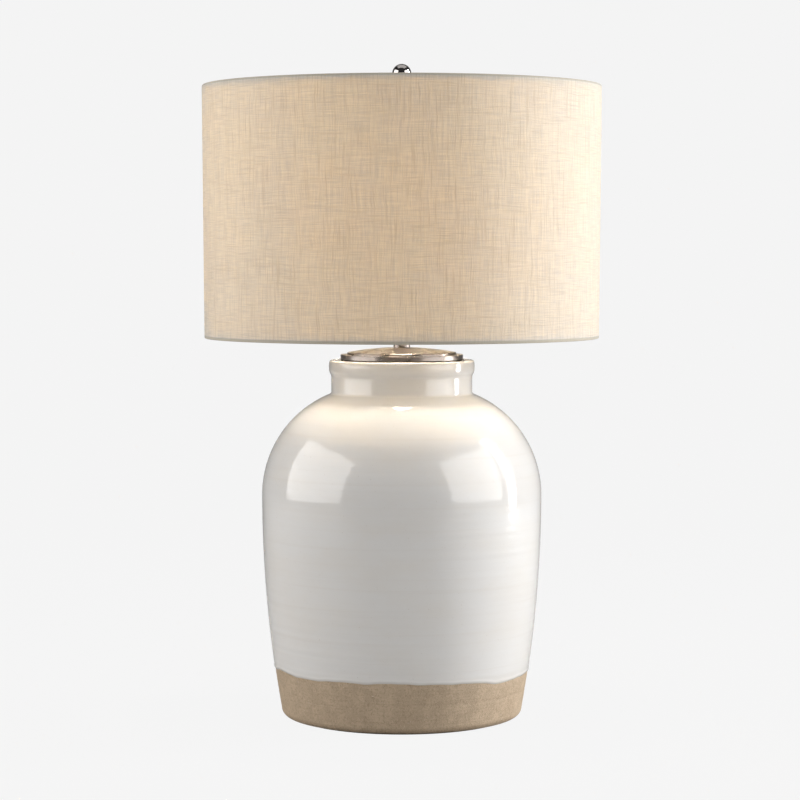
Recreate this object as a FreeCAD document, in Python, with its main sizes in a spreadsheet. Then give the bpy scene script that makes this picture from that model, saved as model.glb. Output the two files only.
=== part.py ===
"""Table lamp: a glazed stoneware jar, brass and nickel hardware on a threaded rod, and a linen drum shade.

The origin is the centre of the underside, +Z is up and -Y is the front, where the switch knob points.
"""
import FreeCAD, Part
import math
import os
import re

import Sketcher
from FreeCAD import Placement, Rotation, Vector

DIMENSIONS = {
    # stoneware jar
    "felt_thickness": (2.0, "felt pad under the foot"),
    "felt_radius": (124.0, "felt pad under the foot"),
    "foot_inner": (118.0, "inside of the foot ring"),
    "foot_outer": (139.3, "jar above the rounded foot"),
    "foot_rounding": (9.5, "rounding of the foot's outer edge"),
    "floor_under": (22.0, "underside of the jar's floor"),
    "floor_thickness": (8.0, "floor of the jar"),
    "wall": (6.0, "thickness of the jar's wall"),
    "belly_radius": (160.8, "widest bare clay"),
    "belly_level": (258.0, "height of the widest place"),
    "shoulder_radius": (124.8, "arc from the belly to the neck"),
    "neck_radius": (80.7, "outside of the clay neck"),
    "mouth_radius": (67.0, "inside of the neck"),
    "lip_radius": (83.1, "outside of the clay lip"),
    "lip_under": (400.0, "underside of the lip"),
    "lip_top": (412.8, "top of the clay lip"),
    "lip_rounding": (3.6, "rounding of the lip's outer edge"),
    "glaze": (0.7, "thickness of the glaze"),
    "glaze_edge": (53.0, "height of the glaze's lower edge at the sides"),
    "glaze_tilt": (2.2, "degrees that the dipped edge rises to the front"),
    # cord inlet
    "inlet_level": (12.0, "height of the cord inlet"),
    "inlet_hole": (7.0, "hole in the foot ring"),
    "inlet_bore": (3.6, "hole in the bushing"),
    "inlet_flange": (9.5, "outer flange of the bushing"),
    # rod and its nuts
    "rod_radius": (4.85, "threaded rod"),
    "rod_bore": (3.3, "way for the lead inside the rod"),
    "rod_bottom": (9.0, "lower end of the rod"),
    "rod_hole": (5.15, "clearance hole for the rod"),
    "washer_radius": (19.0, "large washer under the jar's floor"),
    "washer_thickness": (2.0, "large washer"),
    "spring_washer_radius": (8.2, "split washer"),
    "spring_washer_thickness": (1.6, "split washer"),
    "nut_corner": (8.25, "centre to corner of the hexagon nut"),
    "nut_thickness": (5.0, "hexagon nut"),
    # cap and neck
    "gasket_thickness": (1.0, "ring between the lip and the cap"),
    "cap_radius": (70.7, "rim of the cap"),
    "cap_rim": (5.2, "height of the cap's rim"),
    "cap_step": (62.9, "radius of the raised part of the cap"),
    "cap_step_rise": (2.6, "height of the step"),
    "cap_dome_rise": (5.6, "rise of the dome above the step"),
    "cap_sheet": (1.2, "thickness of the cap's metal"),
    "check_radius": (9.5, "ring between the cap and the neck"),
    "check_thickness": (3.0, "ring between the cap and the neck"),
    "tube_radius": (8.0, "neck tube"),
    "saddle_level": (461.0, "underside of the harp saddle"),
    # harp
    "strip": (1.6, "thickness of the saddle's metal"),
    "tab_outer": (23.6, "outside of the saddle's upright tabs"),
    "tab_rise": (5.6, "rise of the saddle's arms to the tabs"),
    "tab_top": (482.0, "top of the saddle's tabs"),
    "wire_radius": (2.0, "harp wire"),
    "leg_offset": (25.9, "harp leg from the axis"),
    "leg_bottom": (465.0, "lower end of the harp's legs"),
    "leg_bend": (503.0, "where the harp's legs bend outwards"),
    "harp_wide": (57.0, "widest place of the harp"),
    "harp_wide_level": (590.0, "height of the harp's widest place"),
    "harp_top": (706.5, "centre of the wire at the harp's top"),
    "harp_corner": (30.0, "arc at the harp's upper corners"),
    "harp_flat": (8.0, "half of the straight run at the harp's top"),
    "sleeve_offset": (25.0, "centre of a harp sleeve from the axis"),
    "sleeve_inner": (4.3, "bore of a harp sleeve"),
    "sleeve_outer": (5.3, "outside of a harp sleeve"),
    "sleeve_bottom": (467.0, "lower end of the harp sleeves"),
    "sleeve_length": (14.0, "harp sleeves"),
    "crown_radius": (6.0, "boss that holds the stud"),
    "crown_below": (3.5, "depth of the boss under the wire's centre"),
    "crown_top": (713.0, "top of the boss that holds the stud"),
    "pin_radius": (2.1, "pin of the stud in the boss"),
    "pin_clearance": (0.06, "running clearance of the pin"),
    "stud_radius": (3.1, "thread of the stud"),
    "stud_disc": (7.0, "disc that the shade stands on"),
    "stud_disc_thickness": (2.4, "disc that the shade stands on"),
    "stud_top": (727.5, "top of the stud"),
    "small_gap": (0.3, "air between pieces that move past each other"),
    # shade
    "shade_bottom": (439.0, "lower edge of the shade"),
    "shade_top": (728.0, "upper edge of the shade"),
    "shade_top_radius": (229.0, "outside at the upper edge"),
    "shade_bottom_radius": (227.0, "outside at the lower edge"),
    "cloth": (0.8, "thickness of the linen"),
    "liner": (0.8, "thickness of the plastic liner"),
    "hem_width": (6.6, "width that the linen is turned in over a ring"),
    "hem_height": (9.0, "height of the turned-in hem"),
    "ring_wire": (2.0, "ring and spoke wire"),
    "hub_radius": (16.0, "washer at the centre of the spokes"),
    "hub_hole": (3.5, "hole for the stud"),
    "hub_level": (716.0, "underside of the washer"),
    "hub_thickness": (1.6, "washer"),
    "spoke_bend": (46.0, "where the spokes turn down to the washer"),
    "notch_width": (7.0, "cut in the hem at each spoke"),
    # finial
    "collar_radius": (5.5, "threaded collar of the finial"),
    "collar_foot": (7.5, "foot of the collar"),
    "collar_height": (14.0, "threaded collar of the finial"),
    "thread_gap": (0.06, "clearance of the collar on the stud"),
    "ball_radius": (11.0, "finial ball"),
    "ball_level": (742.2, "centre of the finial ball"),
    "shank_radius": (2.4, "shank of the ball in the collar"),
    "shank_length": (3.0, "shank of the ball in the collar"),
    # socket
    "socket_radius": (17.0, "outside of the socket shell"),
    "socket_sheet": (0.6, "thickness of the socket's brass"),
    "cup_height": (17.0, "socket cap"),
    "hub_wall": (7.4, "outside of the socket cap's threaded hub"),
    "hub_rise": (7.0, "height of the socket cap's threaded hub"),
    "shell_top": (529.0, "upper rim of the socket shell"),
    "paper": (0.7, "insulating sleeve"),
    "core_radius": (14.6, "moulded core of the socket"),
    "core_height": (22.0, "moulded core of the socket"),
    "screw_inner": (13.45, "bore of the screw shell"),
    "screw_sheet": (0.4, "thickness of the screw shell"),
    "contact_radius": (4.0, "centre contact"),
    "contact_thickness": (0.6, "centre contact"),
    "terminal_radius": (2.6, "head of a terminal screw"),
    "terminal_head": (1.6, "head of a terminal screw"),
    "knob_level": (489.0, "axis of the switch"),
    "stem_radius": (1.8, "switch stem"),
    "stem_start": (14.9, "inner end of the stem from the lamp's axis"),
    "knob_start": (19.5, "inner face of the knob from the lamp's axis"),
    "knob_radius": (5.6, "switch knob"),
    "knob_length": (14.0, "switch knob"),
    # bulb
    "bulb_screw": (13.1, "outside of the bulb's screw base"),
    "bulb_sheet": (0.4, "thickness of the screw base"),
    "bulb_bottom": (493.6, "lowest point of the bulb"),
    "tip_height": (1.8, "contact at the bulb's end"),
    "tip_radius": (4.6, "contact at the bulb's end"),
    "bead_height": (4.2, "black glass bead round the contact"),
    "screw_height": (19.0, "screw base of the bulb"),
    "glass_neck": (12.4, "neck of the bulb's glass"),
    "glass_radius": (30.0, "widest part of the bulb"),
    "glass_centre": (572.0, "centre of the round part of the bulb"),
    "glass_wall": (0.8, "thickness of the bulb's glass"),
    "mount_radius": (4.2, "glass mount inside the bulb"),
    "mount_top": (552.0, "top of the glass mount"),
    "filament_radius": (1.1, "light-giving rod"),
    "filament_top": (590.0, "top of the light-giving rod"),
}

LEFT_TURN = 1
RIGHT_TURN = -1
SPOKES = 3
KNOB_GROOVES = 12
CELL_NAME = re.compile(r"[a-z][a-z_]+")

doc = FreeCAD.newDocument("table_lamp")
nodes = []


def make_sheet():
    """Write the driving dimensions, in millimetres and degrees, as named cells."""
    table = doc.addObject("Spreadsheet::Sheet", "dims")
    for row, (name, (size, meaning)) in enumerate(DIMENSIONS.items(), start=1):
        table.set(f"A{row}", str(size))
        table.setAlias(f"A{row}", name)
        table.set(f"B{row}", meaning)
    doc.recompute()
    return table


sheet = make_sheet()


def cells(text):
    """The expression with each dimension's name pointed at its cell."""
    return CELL_NAME.sub(lambda word: "dims." + word[0] if word[0] in DIMENSIONS else word[0], text)


def number(text):
    """The present value of an expression."""
    return float(sheet.evalExpression(cells(text)))


def bind(item, path, text):
    """Tie a property of an object to an expression of the dimensions."""
    item.setExpression(path, cells(text))


def keep(item, label):
    """Register an object as a finished sub-part under its own name."""
    item.Label = label
    nodes.append(item)
    return item


def new_body(label):
    """An empty body; its label becomes the name of the sub-part."""
    return keep(doc.addObject("PartDesign::Body", label), label)


def new_sketch(body, name, role="XZ_Plane"):
    """A sketch on one of the body's own origin planes."""
    sketch = body.newObject("Sketcher::SketchObject", name)
    plane = next(item for item in body.Origin.OriginFeatures if item.Role == role)
    sketch.AttachmentSupport = (plane, [""])
    sketch.MapMode = "FlatFace"
    return sketch


def arc_through(start, end, radius, turn):
    """The short arc of a radius from start to end, turning left or right."""
    chord = end - start
    side = Vector(-chord.y, chord.x, 0) * (turn / chord.Length)
    reach = math.sqrt(max(radius**2 - chord.Length**2 / 4, 0.0))
    centre = (start + end) * 0.5 + side * reach
    first, last = (start, end) if turn == LEFT_TURN else (end, start)
    from_angle = math.atan2(first.y - centre.y, first.x - centre.x)
    to_angle = math.atan2(last.y - centre.y, last.x - centre.x)
    if to_angle < from_angle:
        to_angle += 2 * math.pi
    return Part.ArcOfCircle(Part.Circle(centre, Vector(0, 0, 1), radius), from_angle, to_angle)


def place_corner(sketch, edge, end, across, up):
    """Hold one end of an edge at its place, on an axis of the sketch where the place is zero."""
    origin, origin_point, level_axis, upright_axis = -1, 1, -1, -2
    if across == "0":
        sketch.addConstraint(Sketcher.Constraint("PointOnObject", edge, end, upright_axis))
    else:
        index = sketch.addConstraint(
            Sketcher.Constraint("DistanceX", origin, origin_point, edge, end, number(across)))
        bind(sketch, f"Constraints[{index}]", across)
    if up == "0":
        sketch.addConstraint(Sketcher.Constraint("PointOnObject", edge, end, level_axis))
    else:
        index = sketch.addConstraint(
            Sketcher.Constraint("DistanceY", origin, origin_point, edge, end, number(up)))
        bind(sketch, f"Constraints[{index}]", up)


def draw(sketch, corners, closed=True):
    """Draw lines and arcs through corners.

    A corner is two expressions, across and up. With a radius and a turn after them,
    an arc of that radius runs from it to the next corner instead of a line.
    """
    points = [Vector(number(corner[0]), number(corner[1]), 0) for corner in corners]
    count = len(corners) if closed else len(corners) - 1
    ends = []
    for index in range(count):
        following = (index + 1) % len(corners)
        if len(corners[index]) == 2:
            edge = sketch.addGeometry(Part.LineSegment(points[index], points[following]), False)
            ends.append((edge, 1, 2))
            continue
        radius, turn = corners[index][2:]
        curve = arc_through(points[index], points[following], number(radius), turn)
        edge = sketch.addGeometry(curve, False)
        size = sketch.addConstraint(Sketcher.Constraint("Radius", edge, number(radius)))
        bind(sketch, f"Constraints[{size}]", radius)
        ends.append((edge, 1, 2) if turn == LEFT_TURN else (edge, 2, 1))
    for index, (edge, start, end) in enumerate(ends):
        place_corner(sketch, edge, start, *corners[index][:2])
        if index + 1 < count or closed:
            next_edge, next_start, _ = ends[(index + 1) % count]
            sketch.addConstraint(Sketcher.Constraint("Coincident", edge, end, next_edge, next_start))
    if not closed:
        place_corner(sketch, ends[-1][0], ends[-1][2], *corners[-1][:2])


def draw_circle(sketch, across, up, radius):
    """Draw a circle at a place in the sketch."""
    centre = Vector(number(across), number(up), 0)
    edge = sketch.addGeometry(Part.Circle(centre, Vector(0, 0, 1), number(radius)), False)
    place_corner(sketch, edge, 3, across, up)
    size = sketch.addConstraint(Sketcher.Constraint("Radius", edge, number(radius)))
    bind(sketch, f"Constraints[{size}]", radius)


def revolve(body, sketch, name):
    """Turn a sketch round its upright axis."""
    feature = body.newObject("PartDesign::Revolution", name)
    feature.Profile = sketch
    feature.ReferenceAxis = (sketch, ["V_Axis"])
    feature.Angle = 360
    return feature


def turned(label, corners):
    """A sub-part that is an outline turned round the upright axis."""
    body = new_body(label)
    sketch = new_sketch(body, label + "_outline")
    draw(sketch, corners)
    revolve(body, sketch, label + "_turning")
    return body


def ring(label, inner, outer, bottom, top):
    """A plain ring or tube between two levels."""
    return turned(label, [(inner, bottom), (outer, bottom), (outer, top), (inner, top)])


def checked_cut(body, feature):
    """Recompute and make sure that a cutting feature took material away."""
    before = feature.BaseFeature.Shape.Volume
    doc.recompute()
    if body.Shape.Volume > before - 1e-3:
        raise RuntimeError(f"{feature.Name} cuts nothing")


def lay_on_back(item, level, across="0"):
    """Turn a piece that is made along +Z to point to the front, at a height."""
    item.Placement = Placement(Vector(0, -number(across), number(level)), Rotation(Vector(1, 0, 0), 90))
    bind(item, "Placement.Base.y", f"-({across})")
    bind(item, "Placement.Base.z", level)


def jar_outline(extra):
    """The outside of the jar from above the foot to the lip's top, grown by an expression."""
    grown = f"({extra})"
    shoulder_centre = "(belly_radius - shoulder_radius)"
    shoulder = f"(shoulder_radius + {grown})"
    neck = f"(neck_radius + {grown})"
    neck_root = f"belly_level + sqrt({shoulder}^2 - ({neck} - {shoulder_centre})^2)"
    lip = f"(lip_radius + {grown})"
    wall_run = "(belly_radius - foot_outer)"
    wall_rise = "(belly_level - felt_thickness - foot_rounding)"
    wall_arc = f"({wall_run}^2 + {wall_rise}^2) / (2 * {wall_run}) + {grown}"
    upper = [
        (f"belly_radius + {grown}", "belly_level", shoulder, LEFT_TURN),
        (neck, neck_root),
        (neck, f"lip_under - {grown} - 4"),
        (lip, f"lip_under - {grown}"),
        (lip, f"lip_top + {grown} - lip_rounding", "lip_rounding", LEFT_TURN),
        (f"{lip} - lip_rounding", f"lip_top + {grown}"),
    ]
    return wall_arc, upper


def make_jar_body():
    """The thrown stoneware jar, hollow, with a foot ring, a rod hole and a hole for the cord."""
    wall_arc, upper = jar_outline("0")
    inner_shoulder = "(shoulder_radius - wall)"
    mouth_root = f"belly_level + sqrt({inner_shoulder}^2 - (mouth_radius - belly_radius + shoulder_radius)^2)"
    inner_floor = "floor_under + floor_thickness"
    body = turned("jar_body", [
        ("foot_outer - foot_rounding", "felt_thickness", "foot_rounding", LEFT_TURN),
        ("foot_outer", "felt_thickness + foot_rounding", wall_arc, LEFT_TURN),
        *upper,
        ("mouth_radius", "lip_top"),
        ("mouth_radius", mouth_root, inner_shoulder, RIGHT_TURN),
        ("belly_radius - wall", "belly_level", f"{wall_arc} - wall", RIGHT_TURN),
        ("foot_outer - wall", inner_floor),
        ("rod_hole + 1", inner_floor),
        ("rod_hole + 1", "floor_under"),
        ("foot_inner", "floor_under"),
        ("foot_inner", "felt_thickness"),
    ])
    doc.recompute()
    hole = new_sketch(body, "inlet_circle")
    draw_circle(hole, "0", "inlet_level", "inlet_hole")
    pocket = body.newObject("PartDesign::Pocket", "inlet_drilling")
    pocket.Profile = hole
    bind(pocket, "Length", "foot_outer + 10")
    checked_cut(body, pocket)
    if body.Shape.isInside(Vector(0, number("foot_outer - 4"), number("inlet_level")), 1e-3, True):
        pocket.Reversed = True
        checked_cut(body, pocket)


def make_jar_glaze():
    """The glaze: a thin coat over the jar whose lower edge is a tilted plane, from being dipped."""
    wall_arc, upper = jar_outline("glaze")
    clay_arc, clay = jar_outline("0")
    clay_up = [("foot_outer", "felt_thickness + foot_rounding", clay_arc, LEFT_TURN), *clay]
    clay_down = []
    for index in range(len(clay_up) - 1, -1, -1):
        across, up = clay_up[index][:2]
        rounded = index > 0 and len(clay_up[index - 1]) == 4
        clay_down.append((across, up, clay_up[index - 1][2], RIGHT_TURN) if rounded else (across, up))
    coat = turned("glaze_coat", [
        ("foot_outer + glaze", "felt_thickness + foot_rounding", wall_arc, LEFT_TURN),
        *upper,
        ("cap_radius + 1", "lip_top + glaze"),
        ("cap_radius + 1", "lip_top"),
        *clay_down,
    ])
    nodes.remove(coat)
    below = doc.addObject("Part::Box", "below_the_glaze")
    for side in ("Length", "Width"):
        bind(below, side, "4 * belly_radius")
    bind(below, "Height", "belly_radius")
    below.Placement.Rotation = Rotation(Vector(1, 0, 0), -number("glaze_tilt"))
    bind(below, "Placement.Base.x", "-2 * belly_radius")
    bind(below, "Placement.Base.y", "-2 * belly_radius - belly_radius * sin(glaze_tilt)")
    bind(below, "Placement.Base.z",
         "glaze_edge - belly_radius * cos(glaze_tilt) + 2 * belly_radius * sin(glaze_tilt)")
    glaze = doc.addObject("Part::Cut", "jar_glaze")
    glaze.Base = coat
    glaze.Tool = below
    keep(glaze, "jar_glaze")


def make_base_fittings():
    """The felt, the cord bushing, and the rod with its washers and nut under the jar's floor."""
    turned("base_felt", [("0", "0"), ("felt_radius", "0"), ("felt_radius", "felt_thickness"),
                         ("0", "felt_thickness")])
    bushing = turned("cord_grommet", [
        ("inlet_bore", "0"), ("inlet_hole", "0"), ("inlet_hole", "foot_outer - foot_inner + 0.8"),
        ("inlet_flange", "foot_outer - foot_inner + 0.8"),
        ("inlet_flange - 1", "foot_outer - foot_inner + 3"),
        ("inlet_bore", "foot_outer - foot_inner + 3"),
    ])
    bushing.Placement = Placement(Vector(0, number("foot_inner"), number("inlet_level")),
                                  Rotation(Vector(1, 0, 0), -90))
    bind(bushing, "Placement.Base.y", "foot_inner")
    bind(bushing, "Placement.Base.z", "inlet_level")
    ring("threaded_rod", "rod_bore", "rod_radius", "rod_bottom", "saddle_level + 9")
    ring("base_washer", "rod_hole", "washer_radius", "floor_under - washer_thickness", "floor_under")
    make_split_washer()
    make_nut()


def make_split_washer():
    """The spring washer: a ring with a narrow radial slot."""
    whole = ring("spring_ring", "rod_hole", "spring_washer_radius",
                 "floor_under - washer_thickness - spring_washer_thickness", "floor_under - washer_thickness")
    nodes.remove(whole)
    slot = doc.addObject("Part::Box", "washer_slot")
    bind(slot, "Length", "2 * spring_washer_radius")
    bind(slot, "Width", "1")
    bind(slot, "Height", "2 * spring_washer_thickness")
    bind(slot, "Placement.Base.z", "floor_under - washer_thickness - 1.5 * spring_washer_thickness")
    washer = doc.addObject("Part::Cut", "lock_washer")
    washer.Base = whole
    washer.Tool = slot
    keep(washer, "lock_washer")


def make_nut():
    """The hexagon nut that clamps the rod to the jar's floor."""
    under = "floor_under - washer_thickness - spring_washer_thickness - nut_thickness"
    hexagon = doc.addObject("Part::Prism", "nut_blank")
    hexagon.Polygon = 6
    bind(hexagon, "Circumradius", "nut_corner")
    bind(hexagon, "Height", "nut_thickness")
    bind(hexagon, "Placement.Base.z", under)
    thread = doc.addObject("Part::Cylinder", "nut_thread")
    bind(thread, "Radius", "rod_radius + 0.05")
    bind(thread, "Height", "3 * nut_thickness")
    bind(thread, "Placement.Base.z", f"{under} - nut_thickness")
    nut = doc.addObject("Part::Cut", "rod_nut")
    nut.Base = hexagon
    nut.Tool = thread
    keep(nut, "rod_nut")


def make_neck_fittings():
    """The ring seal, the stamped cap on the jar's lip, the check ring and the neck tube."""
    seat = "lip_top"
    rim_bottom = "(lip_top + gasket_thickness + 0.8)"
    rim_top = f"({rim_bottom} + cap_rim)"
    step_top = f"({rim_top} + cap_step_rise)"
    dome_top = f"({step_top} + cap_dome_rise)"
    dome_arc = "((cap_step - 1)^2 + cap_dome_rise^2) / (2 * cap_dome_rise)"
    ring("cap_gasket", "mouth_radius + 0.3", "cap_radius - 0.7", seat, f"{rim_bottom}")
    turned("vase_cap", [
        ("mouth_radius + 0.3", rim_bottom),
        ("cap_radius", rim_bottom),
        ("cap_radius", f"{rim_top} - 0.5", "0.5", LEFT_TURN),
        ("cap_radius - 0.5", rim_top),
        ("cap_step", rim_top),
        ("cap_step", f"{step_top} - 1", "1", LEFT_TURN),
        ("cap_step - 1", step_top, dome_arc, LEFT_TURN),
        ("rod_hole", dome_top),
        ("rod_hole", f"{dome_top} - cap_sheet"),
        ("cap_step - 2.2", f"{step_top} - cap_sheet - 0.3"),
        ("cap_step - cap_sheet", f"{rim_top} - cap_sheet"),
        ("cap_radius - cap_sheet", f"{rim_top} - cap_sheet"),
        ("cap_radius - cap_sheet", f"{rim_bottom} + cap_sheet"),
        ("mouth_radius + 0.3", f"{rim_bottom} + cap_sheet"),
    ])
    ring("check_ring", "rod_hole", "check_radius", dome_top, f"{dome_top} + check_thickness")
    ring("neck_tube", "rod_hole", "tube_radius", f"{dome_top} + check_thickness", "saddle_level")


def make_saddle():
    """The harp saddle: a bent strip with a hole for the rod and two upright tabs."""
    body = new_body("harp_saddle")
    strip = new_sketch(body, "strip_outline")
    draw(strip, [
        ("0", "saddle_level"), ("tab_outer - 9", "saddle_level"),
        ("tab_outer", "saddle_level + tab_rise - 1"),
        ("tab_outer", "saddle_level + tab_rise"), ("tab_outer - strip", "saddle_level + tab_rise"),
        ("tab_outer - 9 - strip / 2", "saddle_level + strip"), ("0", "saddle_level + strip"),
    ])
    tab = new_sketch(body, "tab_outline")
    draw(tab, [
        ("tab_outer - strip", "saddle_level + tab_rise - 1"), ("tab_outer", "saddle_level + tab_rise - 1"),
        ("tab_outer", "tab_top"), ("tab_outer - strip", "tab_top"),
    ])
    pads = []
    for sketch, width in ((strip, "strip * 5"), (tab, "strip * 3")):
        pad = body.newObject("PartDesign::Pad", sketch.Name + "_pad")
        pad.Profile = sketch
        pad.SideType = "Symmetric"
        bind(pad, "Length", width)
        pads.append(pad)
    other_half = body.newObject("PartDesign::Mirrored", "other_arm")
    other_half.Originals = pads
    other_half.MirrorPlane = (strip, ["V_Axis"])
    body.Tip = other_half
    doc.recompute()
    boss = new_sketch(body, "boss_outline")
    draw(boss, [("rod_hole", "saddle_level"), ("rod_hole + 4.5", "saddle_level"),
                ("rod_hole + 4.5", "saddle_level + strip"), ("rod_hole", "saddle_level + strip")])
    revolve(body, boss, "eye")
    doc.recompute()
    hole = new_sketch(body, "rod_hole_outline")
    draw(hole, [("0", "saddle_level - 1"), ("rod_hole", "saddle_level - 1"),
                ("rod_hole", "saddle_level + strip + 1"), ("0", "saddle_level + strip + 1")])
    groove = body.newObject("PartDesign::Groove", "rod_hole_groove")
    groove.Profile = hole
    groove.ReferenceAxis = (hole, ["V_Axis"])
    groove.Angle = 360
    checked_cut(body, groove)


def half_loop():
    """The right half of the harp's centre line, from the leg's foot to the middle of the top."""
    flare_run = "(harp_wide - leg_offset)"
    flare_rise = "(harp_wide_level - leg_bend)"
    flare_arc = f"({flare_run}^2 + {flare_rise}^2) / (4 * {flare_run})"
    rise = "(harp_top - harp_corner - harp_wide_level)"
    reach = "(harp_wide - harp_flat)"
    side_arc = f"({rise}^2 + {reach}^2 - harp_corner^2) / (2 * ({reach} - harp_corner))"
    sweep = f"asin({rise} / ({side_arc} - harp_corner))"
    return [
        ("leg_offset", "leg_bottom"),
        ("leg_offset", "leg_bend", flare_arc, RIGHT_TURN),
        (f"leg_offset + {flare_run} / 2", f"leg_bend + {flare_rise} / 2", flare_arc, LEFT_TURN),
        ("harp_wide", "harp_wide_level", side_arc, LEFT_TURN),
        (f"harp_wide - {side_arc} * (1 - cos({sweep}))", f"harp_wide_level + {side_arc} * sin({sweep})",
         "harp_corner", LEFT_TURN),
        ("harp_flat", "harp_top"),
        ("0", "harp_top"),
    ]


def make_harp():
    """The bent wire loop and the boss at its top."""
    body = new_body("harp_wire")
    path = new_sketch(body, "harp_path")
    draw(path, half_loop(), closed=False)
    section = new_sketch(body, "wire_section", "XY_Plane")
    bind(section, "AttachmentOffset.Base.z", "leg_bottom")
    draw_circle(section, "leg_offset", "0", "wire_radius")
    doc.recompute()
    pipe = body.newObject("PartDesign::AdditivePipe", "bent_wire")
    pipe.Profile = section
    pipe.Spine = path
    doc.recompute()
    other_half = body.newObject("PartDesign::Mirrored", "other_side")
    other_half.Originals = [pipe]
    other_half.MirrorPlane = (path, ["V_Axis"])
    body.Tip = other_half
    turned("harp_crown", [
        ("0", "harp_top - crown_below"), ("crown_radius", "harp_top - crown_below"),
        ("crown_radius", "crown_top"), ("pin_radius", "crown_top"),
        ("pin_radius", "harp_top + wire_radius + small_gap"), ("0", "harp_top + wire_radius + small_gap"),
    ])


def make_sleeves():
    """The two sleeves that slide down over the harp's legs and the saddle's tabs."""
    for side, sign in (("left", "-1"), ("right", "1")):
        sleeve = turned(f"harp_sleeve_{side}", [
            ("sleeve_inner", "0"), ("sleeve_outer + 0.8", "0"), ("sleeve_outer", "1.2"),
            ("sleeve_outer", "sleeve_length - 1.2"), ("sleeve_outer + 0.8", "sleeve_length"),
            ("sleeve_inner", "sleeve_length"),
        ])
        bind(sleeve, "Placement.Base.x", f"{sign} * sleeve_offset")
        bind(sleeve, "Placement.Base.z", "sleeve_bottom")


def make_stud():
    """The stud that swivels in the boss and carries the shade and the finial."""
    pin = "pin_radius - pin_clearance"
    disc_bottom = "(crown_top + small_gap)"
    turned("harp_stud", [
        ("0", "harp_top + wire_radius + 2 * small_gap"),
        (pin, "harp_top + wire_radius + 2 * small_gap"),
        (pin, disc_bottom),
        ("stud_disc", disc_bottom),
        ("stud_disc", f"{disc_bottom} + stud_disc_thickness"),
        ("stud_radius", f"{disc_bottom} + stud_disc_thickness"),
        ("stud_radius", "stud_top - 1"),
        ("stud_radius - 1", "stud_top"),
        ("0", "stud_top"),
    ])


def make_shade_cloth():
    """The linen drum, turned in over the top and bottom rings, with a notch in the hem at each spoke."""
    slope = "((shade_top_radius - shade_bottom_radius) / (shade_top - shade_bottom))"
    drum = turned("linen_drum", [
        ("shade_bottom_radius", "shade_bottom"),
        ("shade_top_radius", "shade_top"),
        ("shade_top_radius - hem_width - cloth", "shade_top"),
        ("shade_top_radius - hem_width - cloth", "shade_top - hem_height"),
        ("shade_top_radius - hem_width", "shade_top - hem_height"),
        ("shade_top_radius - hem_width", "shade_top - cloth"),
        (f"shade_top_radius - cloth - cloth * {slope}", "shade_top - cloth"),
        (f"shade_bottom_radius - cloth + cloth * {slope}", "shade_bottom + cloth"),
        ("shade_bottom_radius - hem_width", "shade_bottom + cloth"),
        ("shade_bottom_radius - hem_width", "shade_bottom + hem_height"),
        ("shade_bottom_radius - hem_width - cloth", "shade_bottom + hem_height"),
        ("shade_bottom_radius - hem_width - cloth", "shade_bottom"),
    ])
    nodes.remove(drum)
    notches = doc.addObject("Part::MultiFuse", "hem_notches")
    cutters = []
    for index in range(SPOKES):
        cutter = doc.addObject("Part::Box", f"hem_notch_{index}")
        bind(cutter, "Length", "2 * cloth + 2")
        bind(cutter, "Width", "notch_width")
        bind(cutter, "Height", "hem_height")
        angle = spoke_angle(index)
        cutter.Placement.Rotation = Rotation(Vector(0, 0, 1), angle)
        reach = "(shade_top_radius - hem_width - 2 * cloth - 1)"
        bind(cutter, "Placement.Base.x", f"{reach} * cos({angle}) + notch_width / 2 * sin({angle})")
        bind(cutter, "Placement.Base.y", f"{reach} * sin({angle}) - notch_width / 2 * cos({angle})")
        bind(cutter, "Placement.Base.z", "shade_top - cloth - hem_height")
        cutters.append(cutter)
    notches.Shapes = cutters
    cloth = doc.addObject("Part::Cut", "shade_fabric")
    cloth.Base = drum
    cloth.Tool = notches
    keep(cloth, "shade_fabric")


def spoke_angle(index):
    """The direction of a spoke, in degrees; the first one points to the back."""
    return 90 + index * 360 / SPOKES


def make_shade_frame():
    """The plastic liner, the bottom ring, and the top ring welded to three spokes and a washer."""
    slope = "((shade_top_radius - shade_bottom_radius) / (shade_top - shade_bottom))"
    edge = "(cloth + 0.2)"
    turned("shade_liner", [
        (f"shade_bottom_radius - cloth + {edge} * {slope}", f"shade_bottom + {edge}"),
        (f"shade_top_radius - cloth - {edge} * {slope}", f"shade_top - {edge}"),
        (f"shade_top_radius - cloth - liner - {edge} * {slope}", f"shade_top - {edge}"),
        (f"shade_bottom_radius - cloth - liner + {edge} * {slope}", f"shade_bottom + {edge}"),
    ])
    inset = "(cloth + liner + ring_wire + 0.3)"
    body = new_body("shade_bottom_ring")
    section = new_sketch(body, "bottom_ring_section")
    ring_radius = f"shade_bottom_radius - {inset}"
    draw_circle(section, ring_radius, "shade_bottom + cloth + ring_wire + 0.3", "ring_wire")
    revolve(body, section, "bottom_ring_turning")
    make_spider(f"(shade_top_radius - {inset})", "(shade_top - cloth - ring_wire - 0.3)")


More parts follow.
